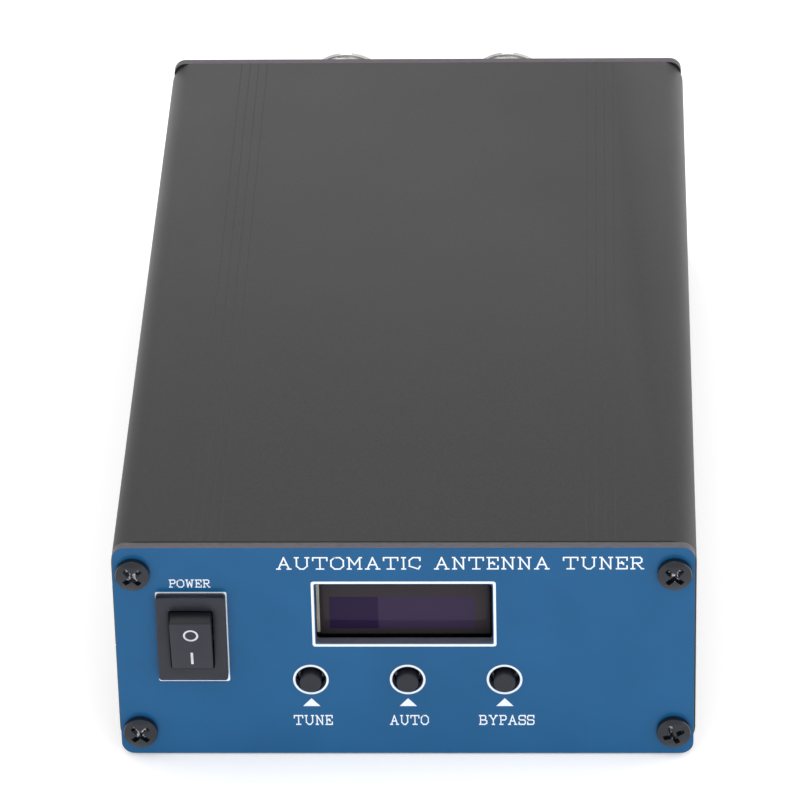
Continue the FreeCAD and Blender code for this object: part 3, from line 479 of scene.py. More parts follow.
def make_finishes(scene):
    """One finish for each material slot of the record, and a few that only show on part of a piece."""
    case, panels = scene.tuner_case, scene.tuner_panels
    switch, sockets = scene.tuner_switch, scene.tuner_sockets
    anodised = new_finish("anodised_case", case.anodising, 0.5, specular_ior_level=0.3)
    add_bump(anodised, 0.14 * MM, 0.012 * MM)
    add_shade(anodised, 0.3 * MM, 0.86, 1.14)
    add_wear(anodised, 14 * MM, 0.47, 0.53)
    mask = new_finish("panel_board", panels.mask, 0.16, specular_ior_level=0.2)
    add_bump(mask, 1.6 * MM, 0.004 * MM)
    add_shade(mask, 9 * MM, 0.95, 1.05)
    bare = new_finish("bare_board", panels.bare, 0.6)
    add_bump(bare, 0.12 * MM, 0.01 * MM)
    add_shade(bare, 0.25 * MM, 0.8, 1.25, stretch=(0.2, 1, 1))
    ink = new_finish("white_print", panels.ink, 0.5)
    add_bump(ink, 0.1 * MM, 0.004 * MM)
    add_shade(ink, 0.4 * MM, 0.96, 1.04)
    simple_finish("grey_print", Vector(panels.ink) * 0.7, 0.5, 0.1, 0.004)
    # Painted highlight: the window's upward-facing sill is paler and bluer than the other bare cut faces.
    simple_finish("sill_highlight", (0.1, 0.11, 0.14), 0.4, 0.1, 0.01)
    simple_finish("black_screw", (0.006, 0.009, 0.015), 0.16, 0.15, 0.003, specular_ior_level=0.42)
    # Painted highlights: black with pale spots from the noise, standing for glints deep in the screws' cross
    # recesses.
    glint_finish = new_finish("painted_recess_glints", (0.01, 0.01, 0.011), 0.25)
    add_bump(glint_finish, 0.2 * MM, 0.01 * MM)
    add_shade(glint_finish, 0.45 * MM, 1, 70, span=(0.5, 0.6))
    simple_finish("bright_steel", sockets.plating, 0.2, 0.2, 0.002, metallic=1)
    simple_finish("switch_plastic", switch.nylon, 0.4, 0.16, 0.014, specular_ior_level=0.35)
    # On the paddle this glossier, much darker nylon is painted shade on its rounded ends and sides under the
    # bezel.
    simple_finish("smooth_plastic", Vector(switch.nylon) * 0.3, 0.3, 0.16, 0.004, specular_ior_level=0.3)
    simple_finish("button_plastic", Vector(switch.nylon) * 0.75, 0.34, 0.12, 0.004, specular_ior_level=0.35)
    simple_finish("spring_steel", (0.52, 0.52, 0.52), 0.25, 0.1, 0.002, metallic=1)
    simple_finish("contact_brass", (0.72, 0.52, 0.22), 0.3, 0.1, 0.003, metallic=1)
    simple_finish("green_board", (0.018, 0.15, 0.055), 0.35, 0.5, 0.006, coat_weight=0.5)
    simple_finish("black_board", (0.012, 0.012, 0.014), 0.4, 0.5, 0.006, specular_ior_level=0.3)
    simple_finish("black_moulding", (0.02, 0.02, 0.021), 0.5, 0.15, 0.01)
    simple_finish("relay_plastic", (0.028, 0.028, 0.032), 0.36, 0.3, 0.006)
    simple_finish("capacitor_ceramic", (0.42, 0.29, 0.17), 0.45, 0.2, 0.006)
    simple_finish("ring_ferrite", (0.45, 0.045, 0.025), 0.5, 0.3, 0.02)
    simple_finish("sense_ferrite", (0.045, 0.045, 0.05), 0.6, 0.2, 0.02)
    simple_finish("enamelled_wire", (0.62, 0.23, 0.08), 0.28, 0.4, 0.003, metallic=1, coat_weight=0.6)
    simple_finish("can_sleeve", (0.025, 0.035, 0.08), 0.35, 0.4, 0.006)
    simple_finish("white_insulator", sockets.insulator, 0.4, 0.3, 0.004)
    simple_finish("gilt_contact", (0.83, 0.6, 0.24), 0.22, 0.2, 0.002, metallic=1)
    simple_finish("wire_insulation", (0.38, 0.03, 0.03), 0.45, 0.3, 0.006)
    simple_finish("white_insulation", (0.74, 0.74, 0.71), 0.45, 0.3, 0.006)
    simple_finish("ground_glass", (0.42, 0.41, 0.36), 0.5, 0.3, 0.02)
    make_display_finish(scene.tuner_display)


def make_display_finish(looks):
    """Dark glass with a violet field whose right part is painted paler: a painted reflection on the glass."""
    left, split, right = -11.4, -4, 10.6
    low, high = 21.6, 27.35
    material = new_finish("display_glass", looks.glass, 0.1, specular_ior_level=0.1)
    tree = material.node_tree
    spots = tree.nodes.new("ShaderNodeTexCoord")
    parts = tree.nodes.new("ShaderNodeSeparateXYZ")
    tree.links.new(spots.outputs["Object"], parts.inputs["Vector"])

    def beyond(axis, level, keep_above=True):
        """1 on one side of a level in millimetres, 0 on the other."""
        test = tree.nodes.new("ShaderNodeMath")
        test.operation = "GREATER_THAN" if keep_above else "LESS_THAN"
        tree.links.new(parts.outputs[axis], test.inputs[0])
        test.inputs[1].default_value = level * MM
        return test.outputs["Value"]

    def both(first, second):
        product = tree.nodes.new("ShaderNodeMath")
        product.operation = "MULTIPLY"
        tree.links.new(first, product.inputs[0])
        tree.links.new(second, product.inputs[1])
        return product.outputs["Value"]

    def mix(share, first, second):
        blend = tree.nodes.new("ShaderNodeMix")
        blend.data_type = "RGBA"
        factor, first_colour, second_colour = blend.inputs["Factor"], blend.inputs[6], blend.inputs[7]
        for socket, source in ((factor, share), (first_colour, first), (second_colour, second)):
            if isinstance(source, bpy.types.NodeSocket):
                tree.links.new(source, socket)
            else:
                socket.default_value = (*source, 1)
        return blend.outputs[2]

    # Past the split at x = -4 mm the field takes the paler colour, a painted reflection.
    across = both(beyond("X", left), beyond("X", right, False))
    up = both(beyond("Z", low), beyond("Z", high, False))
    fields = mix(beyond("X", split), looks.dark_field, looks.field_with_reflection)
    tree.links.new(mix(both(across, up), looks.glass, fields),
                   tree.nodes["Principled BSDF"].inputs["Base Color"])


def give(piece, body, slot, *nodes, finish=None):
    """Hand a finished piece over: its finish, its body, and the frame nodes that it stands for."""
    material = finish_named(finish or slot)
    if piece.data.materials:
        piece.data.materials[0] = material
    else:
        piece.data.materials.append(material)
    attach(piece, body)
    if nodes:
        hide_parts(*nodes)
    return piece


def paint_faces(piece, material, test):
    """Give the faces that pass a test a second finish."""
    piece.data.materials.append(finish_named(material))
    edit(piece)
    pick(piece, "FACE", test)
    piece.active_material_index = len(piece.data.materials) - 1
    bpy.ops.object.material_slot_assign()
    leave_edit()


# ---------------------------------------------------------------- case
class TUNER_OT_case(bpy.types.Operator):
    """Both halves of the split case"""
    bl_idname = "tuner.case"
    bl_label = "Case halves"

    def execute(self, context):
        looks = context.scene.tuner_case
        lower = make_case_half(looks)
        upper = place(copy_piece(lower, "upper_case"), turn=(0, 2 * QUARTER, 0), at=(0, 0, CASE_TOP))
        give(lower, "root", "anodised_case", "lower_shell")
        give(upper, "root", "anodised_case", "upper_shell")
        return {"FINISHED"}


def case_bar(name, left, right, low, high, past=0):
    """A bar that runs the length of the case, or past its ends."""
    return add_box(name, (left, CASE_LOW.y - past, low), (right, CASE_HIGH.y + past, high))


def make_case_half(looks):
    """The lower half: a trough with filed edges, fine grooves, screw channels, board rails and a seam."""
    side = CASE_HIGH.x
    run = CASE_HIGH.y - CASE_LOW.y
    half = case_bar("lower_case", -side, side, CASE_LOW.z, SEAM)
    bevel_edges(half, lambda edge: along(edge, Y) and lies_at(edge, Z, CASE_LOW.z), looks.shoulder, 10)
    bevel_edges(half, lambda edge: lies_at(edge, Y, CASE_LOW.y) or lies_at(edge, Y, CASE_HIGH.y)
                or lies_at(edge, Z, SEAM) and (lies_at(edge, X, -side) or lies_at(edge, X, side)),
                looks.edge_break, 2)
    inner = side - looks.wall
    carve(half, case_bar("hollow", -inner, inner, looks.wall, CASE_HIGH.z, PAST))

    boss, bore, mouth = 3 * MM, 1.5 * MM, 0.6 * MM
    rail_lows, rail_thick = (9 * MM, 12 * MM), 1.2 * MM
    rail_tip, rail_root = inner - 2 * MM, inner + looks.wall / 2
    tongue_out, tongue_in, tongue_rise = side - 0.6 * MM, side - 1.3 * MM, 1 * MM
    play = 0.1 * MM
    ribs = []
    for sign in (-1, 1):
        ribs.append(add_rod("channel", (sign * SCREW_X, 0, SCREW_Z), boss, run, 40))
        for low in rail_lows:
            left, right = sorted((sign * rail_tip, sign * rail_root))
            ribs.append(case_bar("rail", left, right, low, low + rail_thick))
    ribs.append(case_bar("tongue", tongue_in, tongue_out, SEAM - tongue_rise, SEAM + tongue_rise))
    weld(half, join_pieces("ribs", ribs))

    hollows = [case_bar("seam_groove", -tongue_out - play, -tongue_in + play, SEAM - tongue_rise - play,
                        CASE_HIGH.z, PAST)]
    slots = []
    groove_half, groove_count = looks.flute_width / 2, 4
    for sign in (-1, 1):
        hollows.append(add_rod("bore", (sign * SCREW_X, 0, SCREW_Z), bore, run + 2 * PAST, 24))
        left, right = sorted((sign * (SCREW_X - boss - bore), sign * SCREW_X))
        slots.append(case_bar("channel_mouth", left, right, SCREW_Z - mouth, SCREW_Z + mouth, PAST))
        for number in range(groove_count):
            groove_x = sign * (side - looks.flute_start - number * looks.flute_pitch)
            flute = add_rod("flute", (0, 0, 0), groove_half, run + 2 * PAST, 4)
            flute.scale = (1, 1, looks.flute_depth / groove_half)
            slots.append(place(flute, at=(groove_x, 0, 0)))
    carve(half, join_pieces("hollows", hollows), join_pieces("slots", slots))
    return smooth(half, 25)


# ---------------------------------------------------------------- end panels
def panel_blank(name, low, high, looks):
    """A board with rounded corners and its four screw holes."""
    board = add_box(name, low, high)
    bevel_edges(board, lambda edge: along(edge, Y), looks.corner, 8)
    holes = [add_rod("hole", spot, looks.screw_hole, THROUGH) for spot in corner_places(low.y)]
    return carve(board, join_pieces("holes", holes))


def finish_panel(board, node):
    """Break the edges of a drilled board, and show the bare board on them."""
    soften(board, 0.06 * MM, 1, 60)
    give(board, "root", "panel_board", node)
    paint_faces(board, "bare_board", lambda face: abs(face.normal.y) < 0.5)
    return smooth(board, 30)


def rounded_slab(name, x, z, width, height, corner, near, far):
    """A slab across Y with rounded corners, from one depth to another."""
    slab = add_box(name, (x - width / 2, near, z - height / 2), (x + width / 2, far, z + height / 2))
    return bevel_edges(slab, lambda edge: along(edge, Y), corner, 5)


class TUNER_OT_end_panels(bpy.types.Operator):
    """Front and rear panels: blue boards with bare cut edges"""
    bl_idname = "tuner.end_panels"
    bl_label = "End panels"

    def execute(self, context):
        looks, display = context.scene.tuner_panels, context.scene.tuner_display
        front = panel_blank("front_plate", FRONT_LOW, FRONT_HIGH, looks)
        switch_low, switch_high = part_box("rocker_housing")
        side_inset, end_inset = 0.95 * MM, 0.8 * MM
        near, far = FRONT_FACE - PAST, FRONT_HIGH.y + PAST
        slot = add_box("slot", (switch_low.x + side_inset, near, switch_low.z + end_inset),
                       (switch_high.x - side_inset, far, switch_high.z - end_inset))
        window = rounded_slab("window", display.window_x, display.window_z, display.window_width,
                              display.window_height, looks.window_corner, near, far)
        holes = [slot, window]
        for label in BUTTONS:
            middle = node_middle(label + "_button")
            holes.append(add_rod("hole", (middle.x, FRONT_FACE, middle.z), looks.button_hole, THROUGH, 64))
        carve(front, join_pieces("openings", holes))
        finish_panel(front, "front_panel")
        # The window's upward-facing sill gets a paler, bluer bare board: a painted highlight.
        sill = display.window_z - display.window_height / 2
        paint_faces(front, "sill_highlight", lambda face: face.normal.z > 0.5
                    and abs(face.calc_center_median().z - sill) < 0.2 * MM)

        rear = panel_blank("rear_plate", REAR_LOW, REAR_HIGH, looks)
        neck_hole, inlet_hole, flange_hole = 6.6 * MM, 4.05 * MM, 1.6 * MM
        holes = [add_rod("neck_hole", rear_spot(label + "_socket"), neck_hole, THROUGH, 64)
                 for label in RADIO_SOCKETS]
        holes.append(add_rod("inlet_hole", rear_spot("inlet_nut"), inlet_hole, THROUGH, 48))
        holes += [add_rod("screw_hole", spot, flange_hole, THROUGH, 24)
                  for spot in flange_places(context.scene.tuner_sockets.flange_spread, REAR_FACE)]
        carve(rear, join_pieces("openings", holes))
        finish_panel(rear, "rear_panel")
        # The rear panel's inner face takes the black board finish, so the corners that stand past the case's
        # shoulders look dark.
        paint_faces(rear, "black_board", lambda face: face.normal.y < -0.5)
        return {"FINISHED"}


# ---------------------------------------------------------------- print on the front panel
def print_frame(name, x, z, width, height, line, corner):
    """A rounded outline that is rooted a little in the front panel."""
    root, rise = 0.01 * MM, bpy.context.scene.tuner_panels.print_rise
    plate = rounded_slab(name, x, z, width, height, corner, FRONT_FACE - rise, FRONT_FACE + root)
    hole = rounded_slab("hole", x, z, width - 2 * line, height - 2 * line, corner * 0.6, FRONT_FACE - PAST,
                        FRONT_FACE + PAST)
    return carve(plate, hole)


def flat_ring(name, outside, line, rise, sides):
    """A flat ring on z = 0."""
    inside = outside - line
    rings = [(outside, 0), (outside, rise), (inside, rise), (inside, 0)]
    return turn_on_lathe(name, rings, sides, ring_shaped=True)


def print_pointer(name, width, height, rise):
    """A small triangle about the origin, on z = 0."""
    clear_selection()
    bpy.ops.mesh.primitive_cylinder_add(vertices=3, radius=1, depth=1, location=(0, 0, 0.5))
    pointer = name_new(name)
    pointer.scale = (width / math.sqrt(3), height / 1.5, rise)
    return place_again(pointer)


# Each letter on a grid eight steps high: a group of digits is one line, each pair a point on it.
LETTER_STROKES = {
    "A": "104870 2363 0020 6080",
    "B": "1018 085867655414 5473715000",
    "C": "67582806025062 6668",
    "E": "1018 086866 1444 3543 006062",
    "I": "1018 0020 0828",
    "M": "1018 184378 7870 0020 6080 0818 7888",
    "N": "1018 186068 0020 0818 5878",
    "O": "285876725020020628",
    "P": "1018 085867655414 0030",
    "R": "1018 085867655414 346070 0020",
    "S": "675818070514546361501001 6668 0002",
    "T": "4048 06088886 2060",
    "U": "181230507278 0828 6888",
    "W": "1820466078 0828 6888",
    "Y": "184478 4440 0828 6888 3050",
}
BOLD, FINE = 1.05, 0.85  # width of a stroke, in steps of the grid
GRID_TOP, WORD_SPACE, LETTER_SPACE = 8, 6, 2.3


def add_stroke(start, end, stroke, rise):
    """A flat bar from point to point, with square ends."""
    start, end = Vector(start), Vector(end)
    run, middle = end - start, (start + end) / 2
    clear_selection()
    bpy.ops.mesh.primitive_cube_add(size=1, location=(*middle, rise / 2),
                                    rotation=(0, 0, math.atan2(run.y, run.x)),
                                    scale=(run.length + stroke, stroke, rise))
    return bpy.context.active_object


def print_words(name, words, stroke, left, right, low, high):
    """A label that fills a given space on the front panel.

    Strokes differ a little in height, in rounds of seven, so that tops that cross seldom lie in one plane.
    """
    strokes, pen = [], 0
    for letter in words:
        if letter == " ":
            pen += WORD_SPACE
            continue
        lines = [[(pen + int(x), int(y)) for x, y in zip(line[::2], line[1::2])]
                 for line in LETTER_STROKES[letter].split()]
        for line in lines:
            for ends in zip(line, line[1:]):
                strokes.append(add_stroke(*ends, stroke, 1 - 0.07 * (len(strokes) % 7)))
        pen = max(x for line in lines for x, _ in line) + LETTER_SPACE
    label = join_pieces(name, strokes)
    apply_place()
    wide, tall = (right - left) / (pen - LETTER_SPACE + stroke), (high - low) / (GRID_TOP + stroke)
    label.scale = (wide, tall, bpy.context.scene.tuner_panels.print_rise)
    label.location = (wide * stroke / 2, tall * stroke / 2, 0)
    place_again(label)
    return place(label, turn=FORWARDS, at=(left, FRONT_FACE, low))


class TUNER_OT_panel_print(bpy.types.Operator):
    """White print on the front panel: outlines, rings, pointers and plain labels"""
    bl_idname = "tuner.panel_print"
    bl_label = "Panel print"

    def execute(self, context):
        labels = {  # words, stroke, and the space that they fill in millimetres: left, right, low and high
            "title": ("AUTOMATIC ANTENNA TUNER", FINE, -19.06, 36.1, 33.95, 36.2),
            "power": ("POWER", BOLD, -35.27, -29.04, 30.74, 32.19),
            "tune": ("TUNE", BOLD, -17.21, -11.27, 5.51, 7.35),
            "auto": ("AUTO", BOLD, -2.56, 3.38, 5.51, 7.35),
            "bypass": ("BYPASS", BOLD, 11.03, 19.47, 5.51, 7.35),
        }
        for name, (words, stroke, *space) in labels.items():
            label = print_words("label_" + name, words, stroke, *(size * MM for size in space))
            give(label, "root", "panel_board", finish="white_print")
        outlines = {  # middle x and z, width, height, line and corner, in millimetres
            "display_outline": (-0.045, 25.89, 27.8, 11.78, 0.4, 0.4),
            "switch_outline": (-32.06, 21.81, 10.78, 16.24, 0.4, 0.3),
        }
        marks = [print_frame(name, *(size * MM for size in sizes)) for name, sizes in outlines.items()]
        rise = context.scene.tuner_panels.print_rise
        ring_outside, ring_line = 2.71 * MM, 0.34 * MM
        pointer_low, pointer_width, pointer_height = 9.02 * MM, 2.62 * MM, 1.45 * MM
        for label in BUTTONS:
            middle = node_middle(label + "_button")
            ring = flat_ring(label + "_ring", ring_outside, ring_line, rise, 64)
            marks.append(place(ring, turn=FORWARDS, at=(middle.x, FRONT_FACE, middle.z)))
            pointer = print_pointer(label + "_pointer", pointer_width, pointer_height, rise)
            marks.append(place(pointer, FORWARDS, (middle.x, FRONT_FACE, pointer_low + pointer_height / 3)))
        for mark in marks:
            give(mark, "root", "panel_board", finish="white_print")
        return {"FINISHED"}


# ---------------------------------------------------------------- screws and nuts
def make_screw(name, reach, pitch=0.5 * MM):
    """Pan-head cross screw that stands on z = 0, its threaded shank below."""
    head, rise, crown, shank = 2.6 * MM, 1.6 * MM, 6 * MM, 1.45 * MM
    runout, thread_depth, edge = 0.4 * MM, 0.28 * MM, 0.16 * MM
    low, high = -reach + runout, -runout

    def dome(radius):
        """Height of the domed top at a radius."""
        return rise - crown + math.sqrt(crown ** 2 - radius ** 2)

    brim, steps = head - edge, 8
    top = dome(brim)
    rings = [(shank * 0.6, -reach), *thread_rings(shank, low, high, pitch, 4), (shank, 0),
             (head * 0.96, 0), (head, 0.1 * MM), (head, top - edge), (head - 0.05 * MM, top - 0.04 * MM)]
    rings += [(brim * (1 - step / steps), dome(brim * (1 - step / steps))) for step in range(steps)]
    screw = turn_on_lathe(name, rings, 40)
    wind_thread(screw, shank, low, high, pitch, thread_depth)
    arm_reach, arm_half, floor, above = 2.2 * MM, 0.5 * MM, 0.55 * MM, 2.4 * MM
    arms = []
    for turned in (0, QUARTER):
        arm = add_box("arm", (-arm_reach, -arm_half, floor), (arm_reach, arm_half, above))
        edit(arm)
        pick(arm, "FACE", lambda face: face.normal.z < -0.5)
        bpy.ops.transform.resize(value=(0.59, 0.6, 1), center_override=(0, 0, floor))
        leave_edit()
        arms.append(place(arm, turn=(0, 0, turned)))
    core = turn_on_lathe("core", in_mm((0.3, 0.6), (0.95, 1.62), (0.95, 2.5)), 4)
    carve(screw, *arms, core)
    return smooth(screw, 28)


def takes_recess_glints(face):
    """Whether a face of an upright screw is deep in its cross recess, where pale spots are painted as glints:
    painted highlights.
    """
    middle = face.calc_center_median()
    inside = math.hypot(middle.x, middle.y) < 1 * MM and middle.z > 0.5 * MM
    on_dome = face.normal.z >= 0.85 and middle.z >= 0.7 * MM
    return inside and not on_dome


def set_out(name, pattern, facing, places, twists):
    """Copies of a fastener, each with its own twist in degrees, on a face across Y."""
    pieces = []
    for spot, twist in zip(places, twists):
        piece = place(copy_piece(pattern, "fastener"), turn=(0, 0, math.radians(twist)))
        pieces.append(place(piece, turn=facing, at=spot))
    return join_pieces(name, pieces)


class TUNER_OT_corner_screws(bpy.types.Operator):
    """Black cross screws at the corners of both end panels"""
    bl_idname = "tuner.corner_screws"
    bl_label = "Corner screws"

    def execute(self, context):
        pattern = make_screw("screw", 8 * MM)
        pattern.data.materials.append(finish_named("black_screw"))
        # Painted highlights: the faces deep in each cross recess get pale spots as glints.
        paint_faces(pattern, "painted_recess_glints", takes_recess_glints)
        front = set_out("front_screw_set", pattern, FORWARDS, corner_places(FRONT_FACE), (45, 42, 24, 47))
        give(front, "root", "black_screw", "front_screws")
        rear = set_out("rear_screw_set", pattern, BACKWARDS, corner_places(REAR_FACE), (30, 55, 10, 72))
        give(rear, "root", "black_screw", "rear_screws")
        bpy.data.objects.remove(pattern)
        return {"FINISHED"}


# ---------------------------------------------------------------- power switch
PIVOT = Vector(next(joint for joint in frame["joints"] if joint["name"] == "rocker_tilt")["pos_m"])


class TUNER_OT_power_switch(bpy.types.Operator):
    """Rocker switch: its bezel and body, the paddle, and the two marks on the paddle"""
    bl_idname = "tuner.power_switch"
    bl_label = "Power switch"

    def execute(self, context):
        looks = context.scene.tuner_switch
        give(make_switch_frame(looks), "root", "switch_plastic", "rocker_housing")
        tilt = (looks.paddle_tilt, 0, 0)
        paddle = place(make_paddle(looks), turn=tilt, at=PIVOT)
        give(paddle, "rocker", "switch_plastic", "rocker_paddle")
        # Every face but the front gets a glossier, much darker nylon: painted shade on the paddle's rounded ends
        # and sides under the bezel.
        paint_faces(paddle, "smooth_plastic", lambda face: face.normal.y > -0.9)
        for mark in make_switch_marks(looks):
            give(place(mark, turn=tilt, at=PIVOT), "rocker", "switch_plastic", finish="grey_print")
        return {"FINISHED"}


def make_switch_frame(looks):
    """Bezel with sloping sides and a body behind it, hollow for the paddle."""
    low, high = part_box("rocker_housing")
    middle = (low + high) / 2
    body_width, body_height, overlap, floor = 8.4 * MM, 13.2 * MM, 0.3 * MM, 2.5 * MM
    bezel = add_box("rocker_frame", low, (high.x, FRONT_FACE, high.z))
    bevel_edges(bezel, lambda edge: along(edge, Y), 0.45 * MM, 3)
    bevel_edges(bezel, lambda edge: lies_at(edge, Y, low.y), 0.16 * MM, 3)
    body = add_box("body", (middle.x - body_width / 2, FRONT_FACE - overlap, middle.z - body_height / 2),
                   (middle.x + body_width / 2, high.y, middle.z + body_height / 2))
    weld(bezel, body)
    half_width, half_height = looks.mouth_width / 2, looks.mouth_height / 2
    cavity = add_box("cavity", (middle.x - half_width, low.y - PAST, middle.z - half_height),
                     (middle.x + half_width, high.y - floor, middle.z + half_height))
    bevel_edges(cavity, lambda edge: along(edge, Y), 0.25 * MM, 2)
    carve(bezel, cavity)
    soften(bezel, 0.12 * MM, 2, 50)
    return smooth(bezel, 35)


def make_paddle(looks):
    """Level paddle about its pivot: a slice of a drum, with its pin and the barrel for the spring."""
    width, radius, face, back = 6.35 * MM, looks.paddle_radius, looks.paddle_face, 1.6 * MM
    keel_half, keel_back, sideways = 1.5 * MM, 4.6 * MM, (0, QUARTER, 0)
    drum = add_rod("rocker_button", (0, 0, 0), radius, width, 96, sideways)
    slab = add_box("slab", (-width, -face, -2 * radius), (width, back, 2 * radius))
    combine(drum, slab, "INTERSECT")
    soften(drum, 0.22 * MM, 3, 40)
    keel = add_box("keel", (-keel_half, back / 2, -keel_half), (keel_half, keel_back, keel_half))
    pin = add_rod("pin", (0, 0, 0), 0.5 * MM, 7.8 * MM, 24, sideways)
    barrel = add_rod("barrel", (0, 3.7 * MM, 0), 1 * MM, 5 * MM, 32)
    weld(drum, keel, pin)
    carve(drum, barrel)
    return smooth(drum, 30)


def make_switch_marks(looks):
    """Ring above and stroke below the middle of the paddle's face."""
    rise, face, ring_z = 0.02 * MM, -looks.paddle_face, 2.3 * MM
    stroke_half, stroke_low, stroke_high = 0.19 * MM, -3.65 * MM, -1.25 * MM
    ring = place(flat_ring("mark_off", 1.15 * MM, 0.3 * MM, rise, 48), FORWARDS, (0, face, ring_z))
    stroke = add_box("mark_on", (-stroke_half, face - rise, stroke_low), (stroke_half, face, stroke_high))
    bevel_edges(stroke, lambda edge: along(edge, Y), 0.08 * MM, 2)
    return ring, stroke


# ---------------------------------------------------------------- push buttons
class TUNER_OT_push_buttons(bpy.types.Operator):
    """Stems of the three push buttons"""
    bl_idname = "tuner.push_buttons"
    bl_label = "Push buttons"

    def execute(self, context):
        low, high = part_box("tune_button")
        reach = high.y - low.y
        rings = in_mm((1.65, 0), (1.65, 0.7), (2.05, 0.7), (2.15, 0.8), (2.15, 1.4), (2.05, 1.5), (1.65, 1.5))
        radius, bend, steps = 1.65 * MM, 0.28 * MM, 4
        for step in range(steps + 1):
            angle = QUARTER * step / steps
            rings.append((radius - bend + bend * math.cos(angle), reach - bend + bend * math.sin(angle)))
        rings += [(0.9 * MM, reach - 0.05 * MM), (0.4 * MM, reach - 0.08 * MM)]
        pattern = smooth(turn_on_lathe("stem", rings, 48), 30)
        for label in BUTTONS:
            middle = node_middle(label + "_button")
            stem = place(copy_piece(pattern, label + "_stem"), FORWARDS, (middle.x, high.y, middle.z))
            give(stem, label, "button_plastic", label + "_button")
        bpy.data.objects.remove(pattern)
        return {"FINISHED"}


# ---------------------------------------------------------------- display
class TUNER_OT_display(bpy.types.Operator):
    """Display glass behind the window, with its ground edge"""
    bl_idname = "tuner.display"
    bl_label = "Display"

    def execute(self, context):
        low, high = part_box("display_glass")
        step, margin = 0.6 * MM, 0.5 * MM
        left, right = -12.85 * MM, 12.9 * MM
        edge_left, edge_right, edge_margin = -13.4 * MM, left - 0.01 * MM, 0.7 * MM
        glass = add_box("display_panel", (low.x, low.y + step, low.z), high)
        cover = add_box("cover", (left, low.y, low.z + margin), (right, low.y + 2 * step, high.z - margin))
        weld(glass, cover)
        soften(glass, 0.08 * MM, 2, 40)
        give(smooth(glass, 30), "root", "display_glass", "display_glass")
        edge = add_box("glass_edge", (edge_left, low.y + 0.05 * MM, low.z + edge_margin),
                       (edge_right, low.y + step, high.z - edge_margin))
        soften(edge, 0.1 * MM, 2)
        give(edge, "root", "display_glass", finish="ground_glass")
        return {"FINISHED"}


# ---------------------------------------------------------------- radio sockets and their fasteners
# A socket is modelled about Z with its mouth upwards; z = 0 is the rear panel's outer face.


class TUNER_OT_radio_sockets(bpy.types.Operator):
    """Flanged radio sockets with their insulators, contacts, screws and nuts"""
    bl_idname = "tuner.radio_sockets"
    bl_label = "Radio sockets"

    def execute(self, context):
        looks = context.scene.tuner_sockets
        patterns = [
            ("socket", make_socket(looks), "bright_steel"),
            ("insulator", make_insulator(), "white_insulator"),
            ("contact", make_contact(), "gilt_contact"),
        ]
        for kind, pattern, finish in patterns:
            for label in RADIO_SOCKETS:
                node = "%s_%s" % (label, kind)
                piece = place(copy_piece(pattern, node + "_piece"), BACKWARDS, rear_spot(label + "_socket"))
                give(piece, "root", finish, node)
            bpy.data.objects.remove(pattern)
        screw = make_screw("screw", 9 * MM)
        places = flange_places(looks.flange_spread, REAR_FACE + looks.flange)
        screws = set_out("flange_screw_set", screw, BACKWARDS, places, range(0, 17 * 8, 17))
        give(screws, "root", "bright_steel", "flange_screws")
        low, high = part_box("flange_nuts")
        nut = make_nut(2.75 * MM, high.y - low.y, 1.6 * MM)
        nuts = set_out("flange_nut_set", nut, BACKWARDS, flange_places(looks.flange_spread, low.y), [0] * 8)
        give(nuts, "root", "bright_steel", "flange_nuts")
        for pattern in (screw, nut):
            bpy.data.objects.remove(pattern)
        return {"FINISHED"}


def make_socket(looks):
    """Square flange, threaded barrel with a notched rim, and the neck that passes the panel."""
    side, corner, crest = 25.4 * MM, 1.6 * MM, 7.94 * MM
    flange = add_box("flange", (-side / 2, -side / 2, 0), (side / 2, side / 2, looks.flange))
    bevel_edges(flange, lambda edge: along(edge, Z), corner, 4)
    neck_hole, screw_hole, spread, upright = 6.3 * MM, 1.6 * MM, looks.flange_spread, (0, 0, 0)
    holes = [add_rod("hole", (0, 0, 0), neck_hole, 4 * side, 64, upright)]
    holes += [add_rod("hole", (across * spread, up * spread, 0), screw_hole, side, 32, upright)
              for across in (-1, 1) for up in (-1, 1)]
    carve(flange, join_pieces("holes", holes))
    soften(flange, 0.2 * MM, 2, 60)
    start, finish = 4.2 * MM, 19.6 * MM
    rings = in_mm((4.6, -5.6), (6.3, -5.6), (6.4, -5.5), (6.4, 1), (7.94, 1), (7.94, 3.6))
    rings += thread_rings(crest, start, finish, looks.thread_pitch, 6)
    rings += in_mm((7.94, 20.5), (7.5, 21), (6.35, 21), (6.2, 20.85), (6.2, 8), (4.6, 8))
    barrel = turn_on_lathe("barrel", rings, 64, ring_shaped=True)
    wind_thread(barrel, crest, start, finish, looks.thread_pitch, 0.6 * MM)
    notches = [place(add_box("notch", (-9 * MM, -1 * MM, 19.8 * MM), (9 * MM, 1 * MM, 22 * MM)),
                     turn=(0, 0, math.radians(turned))) for turned in (0, 45, 90, 135)]
    carve(barrel, *notches)
    weld(flange, barrel)
    return smooth(clean(flange), 30)


def make_insulator():
    """Sleeve round the contact, wider where it fills the shell."""
    rings = in_mm((2.3, -6.6), (4.6, -6.6), (4.6, 8), (6.2, 8), (6.2, 9.9), (6.1, 10), (4.2, 10), (4.2, 16.3),
                  (4, 16.5), (2.9, 16.5), (2.9, 4), (2.3, 4))
    return smooth(turn_on_lathe("insulator", rings, 64, ring_shaped=True), 30)


